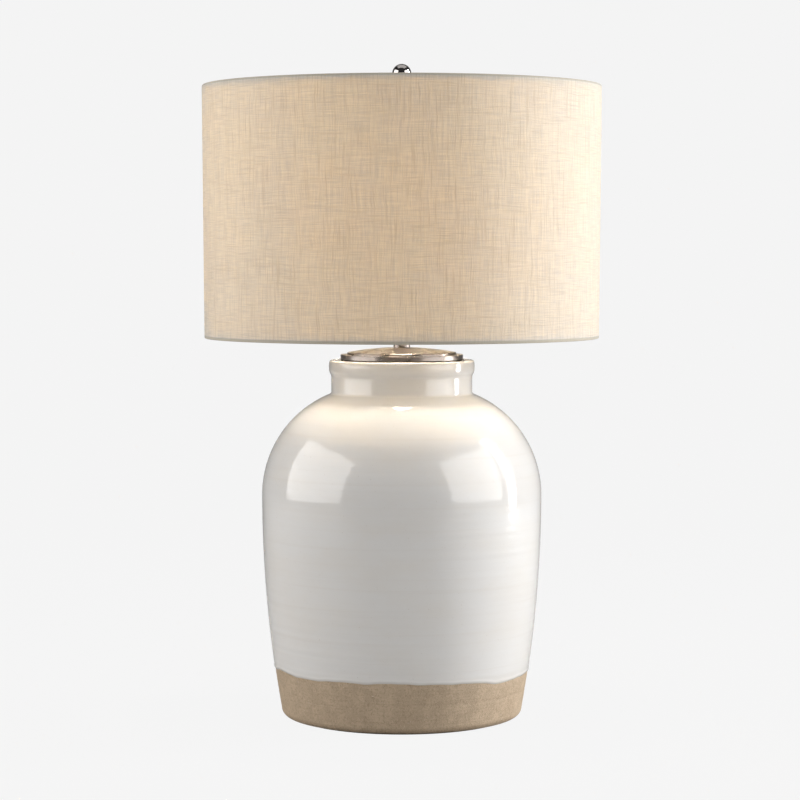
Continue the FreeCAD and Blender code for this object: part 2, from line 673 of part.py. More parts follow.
def make_spider(ring_radius, ring_level):
    """A washer, a spoke repeated round it, and the ring that the spokes are welded to."""
    body = new_body("shade_spider")
    washer = new_sketch(body, "washer_outline")
    draw(washer, [("hub_hole", "hub_level"), ("hub_radius", "hub_level"),
                  ("hub_radius", "hub_level + hub_thickness"), ("hub_hole", "hub_level + hub_thickness")])
    revolve(body, washer, "washer_turning")
    path = new_sketch(body, "spoke_path")
    draw(path, [(f"{ring_radius} - ring_wire / 2", ring_level), ("spoke_bend", ring_level),
                ("hub_radius - 3", "hub_level + hub_thickness + 1")], closed=False)
    section = new_sketch(body, "spoke_section", "YZ_Plane")
    bind(section, "AttachmentOffset.Base.z", f"{ring_radius} - ring_wire / 2")
    draw_circle(section, "0", ring_level, "ring_wire * 0.9")
    doc.recompute()
    spoke = body.newObject("PartDesign::AdditivePipe", "spoke")
    spoke.Profile = section
    spoke.Spine = path
    spoke.Transition = "Right corner"
    doc.recompute()
    spokes = body.newObject("PartDesign::PolarPattern", "spokes")
    spokes.Originals = [spoke]
    upright = next(item for item in body.Origin.OriginFeatures if item.Role == "Z_Axis")
    spokes.Axis = (upright, [""])
    spokes.Angle = 360
    spokes.Occurrences = SPOKES
    body.Tip = spokes
    doc.recompute()
    rim = new_sketch(body, "top_ring_section")
    draw_circle(rim, ring_radius, ring_level, "ring_wire")
    revolve(body, rim, "top_ring_turning")
    body.Placement = Placement(Vector(0, 0, 0), Rotation(Vector(0, 0, 1), spoke_angle(0)))


def make_finial():
    """The threaded collar and the ball that is turned to tighten it."""
    bottom = "(hub_level + hub_thickness + small_gap)"
    bore = "stud_radius + thread_gap"
    top = f"({bottom} + collar_height)"
    shank_bore = "shank_radius + pin_clearance"
    turned("finial_collar", [
        (bore, bottom), ("collar_foot", bottom), ("collar_foot", f"{bottom} + 2"),
        ("collar_radius", f"{bottom} + 3.5"), ("collar_radius", f"{top} - 1"),
        ("collar_radius - 1", top), (shank_bore, top),
        (shank_bore, f"{top} - shank_length - small_gap"), (bore, f"{top} - shank_length - small_gap"),
    ])
    seat = f"({top} + small_gap)"
    flat = f"sqrt(ball_radius^2 - (ball_level - {seat})^2)"
    turned("finial_ball", [
        ("0", f"{top} - shank_length"),
        ("shank_radius", f"{top} - shank_length"),
        ("shank_radius", seat),
        (flat, seat, "ball_radius", LEFT_TURN),
        ("ball_radius", "ball_level", "ball_radius", LEFT_TURN),
        ("0", "ball_level + ball_radius"),
    ])


def make_socket():
    """The socket: brass cap and shell, paper sleeve, moulded core, screw shell and contact."""
    cup_bottom = "(saddle_level + strip)"
    cup_top = f"({cup_bottom} + cup_height)"
    inner = "(socket_radius - socket_sheet)"
    turned("socket_cap", [
        ("rod_radius + thread_gap", cup_bottom), ("socket_radius - 5", cup_bottom),
        ("socket_radius", f"{cup_bottom} + 6"), ("socket_radius", cup_top), (inner, cup_top),
        (inner, f"{cup_bottom} + 6.3"), ("socket_radius - 5.3", f"{cup_bottom} + socket_sheet"),
        ("hub_wall", f"{cup_bottom} + socket_sheet"), ("hub_wall", f"{cup_bottom} + hub_rise"),
        ("rod_radius + thread_gap", f"{cup_bottom} + hub_rise"),
    ])
    make_socket_shell(cup_top, inner)
    ring("socket_insulator", f"{inner} - paper", inner, f"{cup_top} + 18", "shell_top - 3")
    core_bottom = f"({cup_top} - 7)"
    core_top = f"({core_bottom} + core_height)"
    turned("socket_body", [
        ("0", core_bottom), ("core_radius - 1", core_bottom), ("core_radius", f"{core_bottom} + 1"),
        ("core_radius", core_top), ("screw_inner", core_top), ("screw_inner", f"{core_top} - 4"),
        ("0", f"{core_top} - 4"),
    ])
    ring("screw_shell", "screw_inner", "screw_inner + screw_sheet", core_top, "shell_top - 2")
    seat = f"({core_top} - 4)"
    peak = "(bulb_bottom - small_gap)"
    turned("center_contact", [
        ("contact_radius / 2", seat), ("contact_radius", seat),
        ("contact_radius", f"{seat} + contact_thickness"),
        ("contact_radius / 2", peak), ("0", peak), ("0", f"{peak} - contact_thickness"),
        ("contact_radius / 3", f"{peak} - contact_thickness"),
    ])
    make_terminals(f"({cup_top} - 3)")


def make_socket_shell(cup_top, inner):
    """The brass shell with a slot in its lower rim for the switch stem."""
    whole = turned("shell_tube", [
        (inner, cup_top), ("socket_radius", cup_top), ("socket_radius", "shell_top - 1.5"),
        ("socket_radius + 0.5", "shell_top - 0.75"), ("socket_radius", "shell_top"), (inner, "shell_top"),
    ])
    nodes.remove(whole)
    slot = doc.addObject("Part::Cylinder", "stem_slot")
    bind(slot, "Radius", "stem_radius + 0.7")
    bind(slot, "Height", "2 * socket_radius")
    lay_on_back(slot, "knob_level")
    shell = doc.addObject("Part::Cut", "socket_shell")
    shell.Base = whole
    shell.Tool = slot
    keep(shell, "socket_shell")


def make_terminals(level):
    """The two terminal screws, one on each side of the moulded core."""
    screws = []
    for name, sign in (("left_terminal", -1), ("right_terminal", 1)):
        head = doc.addObject("Part::Cylinder", name + "_head")
        bind(head, "Radius", "terminal_radius")
        bind(head, "Height", "terminal_head")
        slot = doc.addObject("Part::Box", name + "_slot")
        bind(slot, "Length", "3 * terminal_radius")
        bind(slot, "Width", "0.7")
        bind(slot, "Height", "terminal_head")
        bind(slot, "Placement.Base.x", "-1.5 * terminal_radius")
        bind(slot, "Placement.Base.y", "-0.35")
        bind(slot, "Placement.Base.z", "terminal_head - 0.7")
        screw = doc.addObject("Part::Cut", name)
        screw.Base = head
        screw.Tool = slot
        screw.Placement.Rotation = Rotation(Vector(0, 1, 0), sign * 90)
        bind(screw, "Placement.Base.x", f"{sign} * core_radius")
        bind(screw, "Placement.Base.z", level)
        screws.append(screw)
    pair = doc.addObject("Part::Compound", "terminal_screws")
    pair.Links = screws
    keep(pair, "terminal_screws")


def make_switch():
    """The switch stem and its fluted knob, which point to the front."""
    stem = turned("switch_stem", [
        ("0", "0"), ("stem_radius", "0"), ("stem_radius", "knob_start - stem_start + 6"),
        ("0", "knob_start - stem_start + 6"),
    ])
    lay_on_back(stem, "knob_level", "stem_start")
    knob = turned("switch_knob", [
        ("stem_radius", "0"), ("knob_radius - 0.6", "0"), ("knob_radius", "0.6"),
        ("knob_radius - 0.5", "knob_length - 1.2"), ("knob_radius - 1.7", "knob_length"),
        ("0", "knob_length"), ("0", "6"), ("stem_radius", "6"),
    ])
    doc.recompute()
    flute = new_sketch(knob, "flute_outline", "XY_Plane")
    draw_circle(flute, "knob_radius + 0.35", "0", "0.9")
    groove = knob.newObject("PartDesign::Pocket", "flute")
    groove.Profile = flute
    groove.SideType = "Symmetric"
    bind(groove, "Length", "4 * knob_length")
    checked_cut(knob, groove)
    flutes = knob.newObject("PartDesign::PolarPattern", "flutes")
    flutes.Originals = [groove]
    upright = next(item for item in knob.Origin.OriginFeatures if item.Role == "Z_Axis")
    flutes.Axis = (upright, [""])
    flutes.Angle = 360
    flutes.Occurrences = KNOB_GROOVES
    knob.Tip = flutes
    lay_on_back(knob, "knob_level", "knob_start")


def make_bulb():
    """The bulb: contact, bead, screw base, glass envelope, glass mount and light-giving rod."""
    tip_top = "(bulb_bottom + tip_height)"
    bead_top = f"({tip_top} + bead_height)"
    screw_top = f"({bead_top} + screw_height)"
    turned("bulb_tip", [
        ("0", "bulb_bottom"), ("tip_radius - 1.5", "bulb_bottom"), ("tip_radius", tip_top), ("0", tip_top),
    ])
    turned("bulb_insulator", [
        ("0", tip_top), ("tip_radius + 1", tip_top), ("bulb_screw - 2.4", f"{bead_top} - 0.3"),
        ("0", f"{bead_top} - 0.3"),
    ])
    turned("bulb_base", [
        ("bulb_screw - 2.4", bead_top), ("bulb_screw", f"{bead_top} + 2.4"), ("bulb_screw", screw_top),
        ("bulb_screw - bulb_sheet", screw_top), ("bulb_screw - bulb_sheet", f"{bead_top} + 2.6"),
        ("bulb_screw - 2.8", f"{bead_top} + bulb_sheet"), ("0", f"{bead_top} + bulb_sheet"),
        ("0", bead_top),
    ])
    make_bulb_glass(f"({screw_top} - 6)")
    mount_bottom = f"({screw_top} - 6)"
    turned("bulb_mount", [
        ("0", mount_bottom), ("glass_neck - glass_wall", mount_bottom),
        ("glass_neck - glass_wall", f"{mount_bottom} + 1"), ("mount_radius", f"{mount_bottom} + 9"),
        ("mount_radius", "mount_top - 12"),
        ("mount_radius / 2", "mount_top"), ("0", "mount_top"),
    ])
    turned("bulb_filament", [
        ("0", "mount_top"), ("filament_radius", "mount_top"), ("filament_radius", "filament_top"),
        ("0", "filament_top"),
    ])


def make_bulb_glass(neck_bottom):
    """The hollow glass: a round end, a hollow flare and a straight neck that stands in the base."""
    join = "(glass_centre - 17)"
    join_radius = "sqrt(glass_radius^2 - 17^2)"
    inner = "(glass_radius - glass_wall)"
    inner_join = f"sqrt({inner}^2 - 17^2)"
    neck_top = f"({neck_bottom} + 13)"
    turned("bulb_glass", [
        ("glass_neck", neck_bottom), ("glass_neck", neck_top, "60", RIGHT_TURN),
        (join_radius, join, "glass_radius", LEFT_TURN),
        ("glass_radius", "glass_centre", "glass_radius", LEFT_TURN),
        ("0", "glass_centre + glass_radius"), ("0", f"glass_centre + {inner}", inner, RIGHT_TURN),
        (inner, "glass_centre", inner, RIGHT_TURN), (inner_join, join, "60", LEFT_TURN),
        ("glass_neck - glass_wall", neck_top), ("glass_neck - glass_wall", neck_bottom),
    ])


def export_parts():
    """Check every object, then write each sub-part to its own file."""
    doc.recompute()
    for item in doc.Objects:
        if "Invalid" in item.State or "Error" in item.State:
            raise RuntimeError(f"{item.Name} did not recompute: {item.State}")
    for item in nodes:
        if item.Shape.isNull() or not item.Shape.isValid() or not item.Shape.Solids:
            raise RuntimeError(f"{item.Label} has no valid shape")
    os.makedirs("parts", exist_ok=True)
    for item in nodes:
        item.Shape.exportStep(f"parts/{item.Label}.step")
        print(f"{item.Label}: {len(item.Shape.Solids)} solid, {item.Shape.Volume / 1000:.2f} cm3")


make_jar_body()
make_jar_glaze()
make_base_fittings()
make_neck_fittings()
make_saddle()
make_harp()
make_sleeves()
make_stud()
make_shade_cloth()
make_shade_frame()
make_finial()
make_socket()
make_switch()
make_bulb()
export_parts()
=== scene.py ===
import math

import bmesh
import bpy
from bpy.props import FloatProperty, FloatVectorProperty, IntProperty, PointerProperty
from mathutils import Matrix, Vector


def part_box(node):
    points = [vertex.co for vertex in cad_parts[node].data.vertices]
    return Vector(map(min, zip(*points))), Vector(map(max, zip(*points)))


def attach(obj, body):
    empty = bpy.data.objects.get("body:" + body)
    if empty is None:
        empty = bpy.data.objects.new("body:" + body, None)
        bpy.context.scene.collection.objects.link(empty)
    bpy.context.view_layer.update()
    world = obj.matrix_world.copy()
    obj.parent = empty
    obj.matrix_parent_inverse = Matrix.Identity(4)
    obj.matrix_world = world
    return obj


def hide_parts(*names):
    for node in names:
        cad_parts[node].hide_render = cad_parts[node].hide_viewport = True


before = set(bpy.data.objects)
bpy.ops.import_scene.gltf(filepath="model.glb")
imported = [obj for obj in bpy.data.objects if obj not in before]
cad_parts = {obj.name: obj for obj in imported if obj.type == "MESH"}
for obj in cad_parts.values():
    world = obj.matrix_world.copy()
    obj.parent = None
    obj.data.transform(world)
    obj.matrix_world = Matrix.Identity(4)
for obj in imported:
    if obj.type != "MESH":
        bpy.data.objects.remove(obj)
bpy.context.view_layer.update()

bl_info = {
    "name": "Stoneware Table Lamp",
    "version": (1, 0, 0),
    "blender": (4, 5, 0),
    "location": "View3D > Sidebar > Lamp",
    "description": "Builds a glazed stoneware table lamp with a linen drum shade",
    "category": "Add Mesh",
}

FULL_TURN = 2 * math.pi
MM = 0.001
SAME_POINT = 1e-6  # metres between points that are merged
LONGEST_ROUND = 0.49  # share of a side that a rounded corner may use
AROUND_SCALE = 0.2  # metres for each radian in round_coordinates
FELT = 2 * MM  # the jar stands on a pad of this thickness
SMOOTH_RIM = 12 * MM  # the jar's outside is left smooth up to this far beyond the mouth
SHADE_TAPER = 2 * MM  # how much narrower the shade is at its lower edge


# ---------------------------------------------------------------- settings

def tint(name, description, default):
    """A colour property, in linear values."""
    return FloatVectorProperty(name=name, description=description, default=default, size=3,
                               min=0.0, max=1.0, subtype="COLOR")


def length(name, description, default):
    """A length property, in metres."""
    return FloatProperty(name=name, description=description, default=default, unit="LENGTH",
                         subtype="DISTANCE", precision=5)


class JarSettings(bpy.types.PropertyGroup):
    """Sizes and colours of the thrown jar."""
    belly: length("Belly radius", "Widest bare clay", 160.8 * MM)
    belly_level: length("Belly level", "Height of the widest place", 258 * MM)
    foot: length("Foot radius", "Clay above the rounded foot", 139.3 * MM)
    foot_rounding: length("Foot rounding", "Round of the foot's outer edge", 9.5 * MM)
    foot_inner: length("Foot ring", "Inside of the foot ring", 118 * MM)
    floor_under: length("Floor underside", "Height of the floor's underside", 22 * MM)
    floor_thickness: length("Floor", "Thickness of the floor", 8 * MM)
    wall: length("Wall", "Thickness of the wall", 6 * MM)
    shoulder: length("Shoulder radius", "Arc from the belly to the neck", 124.8 * MM)
    neck: length("Neck radius", "Outside of the clay neck", 80.7 * MM)
    mouth: length("Mouth radius", "Inside of the neck", 67 * MM)
    lip: length("Lip radius", "Outside of the clay lip", 83.1 * MM)
    lip_under: length("Lip underside", "Height where the lip begins", 398.5 * MM)
    glaze: length("Glaze thickness", "Thickness of the coat", 0.7 * MM)
    glaze_edge: length("Glaze edge", "Middle height of the dipped edge", 56 * MM)
    edge_rise: length("Edge rise", "Rise of the dipped edge to the front", 2.6 * MM)
    edge_lean: length("Edge lean", "Rise of the dipped edge to the left", 3.2 * MM)
    edge_wave: length("Edge wave", "Unevenness of the dipped edge", 1.6 * MM)
    ring_depth: length("Throwing rings", "Depth of the finger rings", 0.09 * MM)
    glaze_colour: tint("Glaze", "Off-white glaze", (0.80, 0.785, 0.765))
    clay_colour: tint("Clay", "Fired clay", (0.47, 0.36, 0.25))
    segments: IntProperty(name="Segments", description="Faces round the jar", default=240, min=48)


class ShadeSettings(bpy.types.PropertyGroup):
    """Sizes and colours of the linen shade."""
    cloth: length("Cloth", "Thickness of the linen", 0.8 * MM)
    hem_depth: length("Hem depth", "Width of the turn-in over a ring", 6.6 * MM)
    hem_height: length("Hem height", "Height of the turned-in hem", 9 * MM)
    hem_round: length("Hem round", "Rounding where the linen turns in", 2.2 * MM)
    seam_width: length("Seam", "Width of the glued lap at the back", 14 * MM)
    thread: length("Thread", "Width of one linen thread", 1.15 * MM)
    linen_colour: tint("Linen", "Natural linen", (0.97, 0.935, 0.865))
    # the slub colour, darkened, is also the painted shade on the turned hems
    slub_colour: tint("Slub", "Thicker, darker threads", (0.64, 0.555, 0.425))
    glow_colour: tint("Glow", "Light that comes through the linen", (1.0, 0.675, 0.21))
    liner_colour: tint("Liner", "White lining sheet", (0.92, 0.90, 0.86))
    segments: IntProperty(name="Segments", description="Faces round the shade", default=288, min=48)


class MetalSettings(bpy.types.PropertyGroup):
    """Colours of the fittings."""
    nickel_colour: tint("Polished nickel", "The finial", (0.52, 0.485, 0.47))
    satin_colour: tint("Satin nickel", "Cap, neck and harp", (0.34, 0.30, 0.275))
    brass_colour: tint("Brass", "Socket metal", (0.80, 0.62, 0.34))
    zinc_colour: tint("Zinc", "Plated steel", (0.62, 0.61, 0.59))
    bulb_colour: tint("Bulb light", "Warm light of the bulb", (1.0, 0.88, 0.72))
    bulb_strength: FloatProperty(name="Bulb strength", description="Light given by the bulb", default=140.0)


class StageSettings(bpy.types.PropertyGroup):
    """Backdrop, lights and camera."""
    distance: length("Camera distance", "From the lamp's axis", 3000 * MM)
    eye: length("Camera height", "Above the surface", 540 * MM)
    aside: length("Camera offset", "To the left of the axis", 2 * MM)
    pitch: FloatProperty(name="Pitch", description="Camera looks down by this", default=math.radians(3.30),
                         subtype="ANGLE")
    lens: FloatProperty(name="Lens", description="Focal length in millimetres", default=117.0)
    backdrop_colour: tint("Backdrop", "Pale seamless paper", (0.44, 0.44, 0.44))


class LampSettings(bpy.types.PropertyGroup):
    """All settings of the lamp."""
    jar: PointerProperty(type=JarSettings, name="Jar", description="The thrown jar")
    shade: PointerProperty(type=ShadeSettings, name="Shade", description="The linen shade")
    metal: PointerProperty(type=MetalSettings, name="Metal", description="Fittings and bulb")
    stage: PointerProperty(type=StageSettings, name="Stage", description="Backdrop, lights and camera")


# ---------------------------------------------------------------- mesh helpers

def arc(centre, radius, start, end, steps):
    """Points along an arc in the radius-height plane, angles in degrees."""
    points = []
    for index in range(steps + 1):
        angle = math.radians(start + (end - start) * index / steps)
        points.append((centre[0] + radius * math.cos(angle), centre[1] + radius * math.sin(angle)))
    return points


def rounded(corners, steps):
    """An outline whose corners carry a rounding: (radius, height, rounding)."""
    points = []
    count = len(corners)
    for index, (across, up, rounding) in enumerate(corners):
        here = Vector((across, up))
        if rounding <= 0:
            points.append((across, up))
            continue
        before = Vector(corners[index - 1][:2]) - here
        after = Vector(corners[(index + 1) % count][:2]) - here
        reach = min(rounding, before.length * LONGEST_ROUND, after.length * LONGEST_ROUND)
        start = here + before.normalized() * reach
        end = here + after.normalized() * reach
        for step in range(steps + 1):
            part = step / steps
            point = start * (1 - part) ** 2 + here * 2 * part * (1 - part) + end * part ** 2
            points.append((point.x, point.y))
    return points


def add_object(name, mesh):
    """Link a smooth-shaded mesh object into the scene."""
    for polygon in mesh.polygons:
        polygon.use_smooth = True
    piece = bpy.data.objects.new(name, mesh)
    bpy.context.scene.collection.objects.link(piece)
    return piece


def tube_of_rings(name, rings):
    """A closed mesh from rings of points; the last ring is joined to the first."""
    shape = bmesh.new()
    made = [[shape.verts.new(point) for point in ring] for ring in rings]
    for index in range(len(made)):
        lower, upper = made[index], made[(index + 1) % len(made)]
        for step in range(len(lower)):
            following = (step + 1) % len(lower)
            shape.faces.new((lower[step], lower[following], upper[following], upper[step]))
    bmesh.ops.remove_doubles(shape, verts=shape.verts, dist=SAME_POINT)
    bmesh.ops.recalc_face_normals(shape, faces=shape.faces)
    mesh = bpy.data.meshes.new(name)
    shape.to_mesh(mesh)
    shape.free()
    return add_object(name, mesh)


def round_point(angle, radius, height):
    """A point at an angle round the upright axis, counted from the front."""
    return radius * math.sin(angle), -radius * math.cos(angle), height


def turned(name, outline, segments, shift):
    """Turn a closed outline round the upright axis; shift(angle, radius, height) moves each point."""
    rings = []
    for across, up in outline:
        ring = []
        for step in range(segments):
            angle = FULL_TURN * step / segments
            ring.append(round_point(angle, *shift(angle, across, up)))
        rings.append(ring)
    return tube_of_rings(name, rings)


def finish_piece(piece, body, node, material):
    """Ride on a body, stand for a CAD node and wear a material."""
    piece.data.materials.clear()
    piece.data.materials.append(material)
    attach(piece, body)
    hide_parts(node)


def dress(nodes, material):
    """Give carried-over CAD nodes a material."""
    for name in nodes:
        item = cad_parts[name]
        item.data.materials.clear()
        item.data.materials.append(material)


# ---------------------------------------------------------------- shader helpers

def add(tree, kind, inputs=None, **settings):
    """Add a shader node; inputs may be values or sockets to link from."""
    item = tree.nodes.new(kind)
    for key, value in settings.items():
        setattr(item, key, value)
    for key, value in (inputs or {}).items():
        if isinstance(value, bpy.types.NodeSocket):
            tree.links.new(value, item.inputs[key])
        else:
            item.inputs[key].default_value = value
    return item


def calc(tree, operation, first, second=0.0):
    """A Math node's result."""
    return add(tree, "ShaderNodeMath", {0: first, 1: second}, operation=operation).outputs[0]


def spread(tree, value, low, high, to_low=0.0, to_high=1.0):
    """Map a value smoothly from one range to another."""
    node = add(tree, "ShaderNodeMapRange", {"Value": value, "From Min": low, "From Max": high,
                                            "To Min": to_low, "To Max": to_high},
               interpolation_type="SMOOTHSTEP")
    return node.outputs["Result"]


def blend_colours(tree, factor, first, second):
    """Mix two colours."""
    node = add(tree, "ShaderNodeMix", None, data_type="RGBA")
    for index, value in ((0, factor), (6, first), (7, second)):
        if isinstance(value, bpy.types.NodeSocket):
            tree.links.new(value, node.inputs[index])
        elif index == 0:
            node.inputs[index].default_value = value
        else:
            node.inputs[index].default_value = (*value, 1.0)
    return node.outputs[2]


def tinge(tree, colour, other, mask, amount):
    """Move a colour toward another one by an amount, where a mask is high."""
    return blend_colours(tree, calc(tree, "MULTIPLY", mask, amount), colour, other)


def scaled(colour, *factors):
    """A colour with its channels multiplied by one factor or by three, and held at 1."""
    each = factors if len(factors) == 3 else factors * 3
    return tuple(min(channel * factor, 1.0) for channel, factor in zip(colour, each))


def noise(tree, vector, scale, detail=2.0, roughness=0.5):
    """A Noise texture's grey value."""
    node = add(tree, "ShaderNodeTexNoise", {"Vector": vector, "Scale": scale, "Detail": detail,
                                            "Roughness": roughness})
    return node.outputs[0]


def stretched(tree, vector, across, up):
    """Scale round coordinates along the way round and the height, without the depth."""
    return add(tree, "ShaderNodeVectorMath", {0: vector, 1: (across, up, 0.0)},
               operation="MULTIPLY").outputs[0]


def new_group(name, inputs, outputs):
    """An empty shader group with named sockets."""
    group = bpy.data.node_groups.new(name, "ShaderNodeTree")
    for socket_name, default in inputs:
        kind = "NodeSocketVector" if default is None else "NodeSocketFloat"
        socket = group.interface.new_socket(name=socket_name, in_out="INPUT", socket_type=kind)
        if default is not None:
            socket.default_value = default
    for socket_name, kind in outputs:
        group.interface.new_socket(name=socket_name, in_out="OUTPUT", socket_type=kind)
    return group, group.nodes.new("NodeGroupInput").outputs, group.nodes.new("NodeGroupOutput").inputs


def group_node(tree, name, inputs=None):
    """Place a shader group in a material."""
    item = tree.nodes.new("ShaderNodeGroup")
    item.node_tree = bpy.data.node_groups[name]
    for key, value in (inputs or {}).items():
        if isinstance(value, bpy.types.NodeSocket):
            tree.links.new(value, item.inputs[key])
        else:
            item.inputs[key].default_value = value
    return item.outputs


def build_round_coordinates():
    """Distance round the axis from the front, height, and distance from the axis, in metres."""
    group, _, results = new_group("round_coordinates", [], [("Vector", "NodeSocketVector")])
    place = add(group, "ShaderNodeTexCoord").outputs["Object"]
    parts = add(group, "ShaderNodeSeparateXYZ", {0: place}).outputs
    front = calc(group, "MULTIPLY", parts[1], -1.0)
    angle = calc(group, "ARCTAN2", parts[0], front)
    squares = calc(group, "ADD", calc(group, "MULTIPLY", parts[0], parts[0]),
                   calc(group, "MULTIPLY", parts[1], parts[1]))
    radius = calc(group, "SQRT", squares)
    around = calc(group, "MULTIPLY", angle, AROUND_SCALE)
    vector = add(group, "ShaderNodeCombineXYZ", {0: around, 1: parts[2], 2: radius}).outputs[0]
    group.links.new(vector, results["Vector"])


def build_threads():
    """One direction of irregular threads: a fine weave whose threads wander, swell and fade."""
    group, given, results = new_group(
        "threads",
        [("Vector", None), ("Thread", 0.0012), ("Run", 0.06), ("Wander", 0.0016), ("Slubs", 0.5)],
        [("Height", "NodeSocketFloat"), ("Slub", "NodeSocketFloat")])
    parts = add(group, "ShaderNodeSeparateXYZ", {0: given["Vector"]}).outputs
    slow = add(group, "ShaderNodeCombineXYZ", {0: calc(group, "MULTIPLY", parts[0], 14.0),
                                               1: calc(group, "MULTIPLY", parts[1], 26.0)}).outputs[0]
    drift = calc(group, "SUBTRACT", noise(group, slow, 1.0, 3.0, 0.6), 0.5)
    reach = calc(group, "MULTIPLY", given["Wander"], 4.0)
    across = calc(group, "ADD", parts[0], calc(group, "MULTIPLY", drift, reach))
    count = calc(group, "DIVIDE", across, given["Thread"])
    along = calc(group, "DIVIDE", parts[1], given["Run"])
    single = add(group, "ShaderNodeCombineXYZ", {0: count, 1: along}).outputs[0]
    thickness = noise(group, single, 1.0, 2.0, 0.6)
    wave = calc(group, "MULTIPLY", calc(group, "SINE", calc(group, "MULTIPLY", count, FULL_TURN)), 0.18)
    group.links.new(calc(group, "ADD", wave, thickness), results["Height"])
    wide = add(group, "ShaderNodeCombineXYZ", {0: calc(group, "MULTIPLY", count, 0.85),
                                               1: calc(group, "MULTIPLY", along, 0.8),
                                               2: 7.3}).outputs[0]
    slub = spread(group, noise(group, wide, 1.0, 1.0, 0.6), 0.48, 0.74)
    patch = add(group, "ShaderNodeCombineXYZ", {0: calc(group, "MULTIPLY", parts[0], 22.0),
                                                1: calc(group, "MULTIPLY", parts[1], 22.0)}).outputs[0]
    share = spread(group, noise(group, patch, 1.0, 3.0, 0.6), 0.35, 0.68, 0.5, 1.0)
    slub = calc(group, "MULTIPLY", slub, share)
    group.links.new(calc(group, "MULTIPLY", slub, given["Slubs"]), results["Slub"])


def build_smudges():
    """Slow and fine unevenness for roughness, and a mask of the same noise for dirt and uneven tone."""
    group, given, results = new_group(
        "smudges", [("Scale", 40.0), ("Low", 0.1), ("High", 0.2)],
        [("Roughness", "NodeSocketFloat"), ("Mask", "NodeSocketFloat")])
    place = add(group, "ShaderNodeTexCoord").outputs["Object"]
    slow = noise(group, place, given["Scale"], 4.0)
    fine = noise(group, place, 900.0)
    mixed = calc(group, "ADD", calc(group, "MULTIPLY", slow, 0.75), calc(group, "MULTIPLY", fine, 0.25))
    node = add(group, "ShaderNodeMapRange", {"Value": mixed, "From Min": 0.35, "From Max": 0.65,
                                             "To Min": given["Low"], "To Max": given["High"]})
    group.links.new(node.outputs["Result"], results["Roughness"])
    group.links.new(spread(group, mixed, 0.4, 0.62), results["Mask"])


def build_speckle():
    """Small round grains scattered in a fired body."""
    group, given, results = new_group("speckle", [("Scale", 400.0), ("Amount", 0.3)],
                                      [("Grain", "NodeSocketFloat"), ("Mottle", "NodeSocketFloat")])
    place = add(group, "ShaderNodeTexCoord").outputs["Object"]
    cells = add(group, "ShaderNodeTexVoronoi", {"Vector": place, "Scale": given["Scale"]})
    size = noise(group, place, 160.0)
    reach = calc(group, "MULTIPLY", calc(group, "SUBTRACT", size, 0.42), given["Amount"])
    inside = calc(group, "LESS_THAN", cells.outputs["Distance"], reach)
    group.links.new(inside, results["Grain"])
    group.links.new(noise(group, place, 60.0, 6.0, 0.68), results["Mottle"])


def new_material(name, base, roughness=0.5, **sockets):
    """A material with one Principled shader whose uniform values sit on its own sockets."""
    material = bpy.data.materials.new(name)
    material.use_nodes = True
    tree = material.node_tree
    shader = tree.nodes["Principled BSDF"]
    shader.inputs["Base Color"].default_value = (*base, 1.0)
    shader.inputs["Roughness"].default_value = roughness
    for key, value in sockets.items():
        shader.inputs[key.replace("_", " ")].default_value = value
    return material, tree, shader


def bump(tree, shader, height, distance, strength=1.0):
    """Feed a height to the shader's normal."""
    node = add(tree, "ShaderNodeBump", {"Height": height, "Distance": distance, "Strength": strength})
    tree.links.new(node.outputs[0], shader.inputs["Normal"])


# ---------------------------------------------------------------- materials

def glaze_material(jar):
    """Glossy off-white glaze: slow tone changes, rings, pinholes and a thin brown edge."""
    material, tree, shader = new_material("off_white_glaze", jar.glaze_colour, 0.12, Coat_Weight=0.35,
                                          Coat_Roughness=0.06, IOR=1.52)
    place = group_node(tree, "round_coordinates")["Vector"]
    parts = add(tree, "ShaderNodeSeparateXYZ", {0: place}).outputs
    tone = noise(tree, stretched(tree, place, 7.0, 20.0), 1.0, 4.0, 0.55)
    bands = noise(tree, stretched(tree, place, 1.2, 150.0), 1.0, 3.0, 0.6)
    warm = scaled(jar.glaze_colour, 0.985, 0.94, 0.875)
    cool = scaled(jar.glaze_colour, 1.015, 1.02, 1.03)
    colour = tinge(tree, cool, warm, spread(tree, tone, 0.36, 0.68), 0.3)
    thin = scaled(jar.glaze_colour, 0.95, 0.925, 0.90)
    colour = tinge(tree, colour, thin, spread(tree, bands, 0.5, 0.8), 0.5)
    specks = group_node(tree, "speckle", {"Scale": 260.0, "Amount": 0.42})
    colour = tinge(tree, colour, (0.42, 0.33, 0.24), specks["Grain"], 0.35)
    edge_noise = noise(tree, stretched(tree, place, 26.0, 10.0), 1.0, 3.0)
    height = calc(tree, "SUBTRACT", parts[1], calc(tree, "MULTIPLY", edge_noise, 8 * MM))
    low = spread(tree, height, 50 * MM, 61.5 * MM, 1.0, 0.0)
    colour = tinge(tree, colour, (0.62, 0.53, 0.42), low, 0.22)
    tree.links.new(colour, shader.inputs["Base Color"])
    rough = group_node(tree, "smudges", {"Scale": 30.0, "Low": 0.07, "High": 0.16})["Roughness"]
    tree.links.new(rough, shader.inputs["Roughness"])
    ripple = noise(tree, stretched(tree, place, 14.0, 95.0), 1.0, 3.0, 0.5)
    orange_peel = noise(tree, place, 260.0)
    relief = calc(tree, "ADD", ripple, calc(tree, "MULTIPLY", orange_peel, 0.16))
    bump(tree, shader, relief, 0.5 * MM, 0.35)
    return material


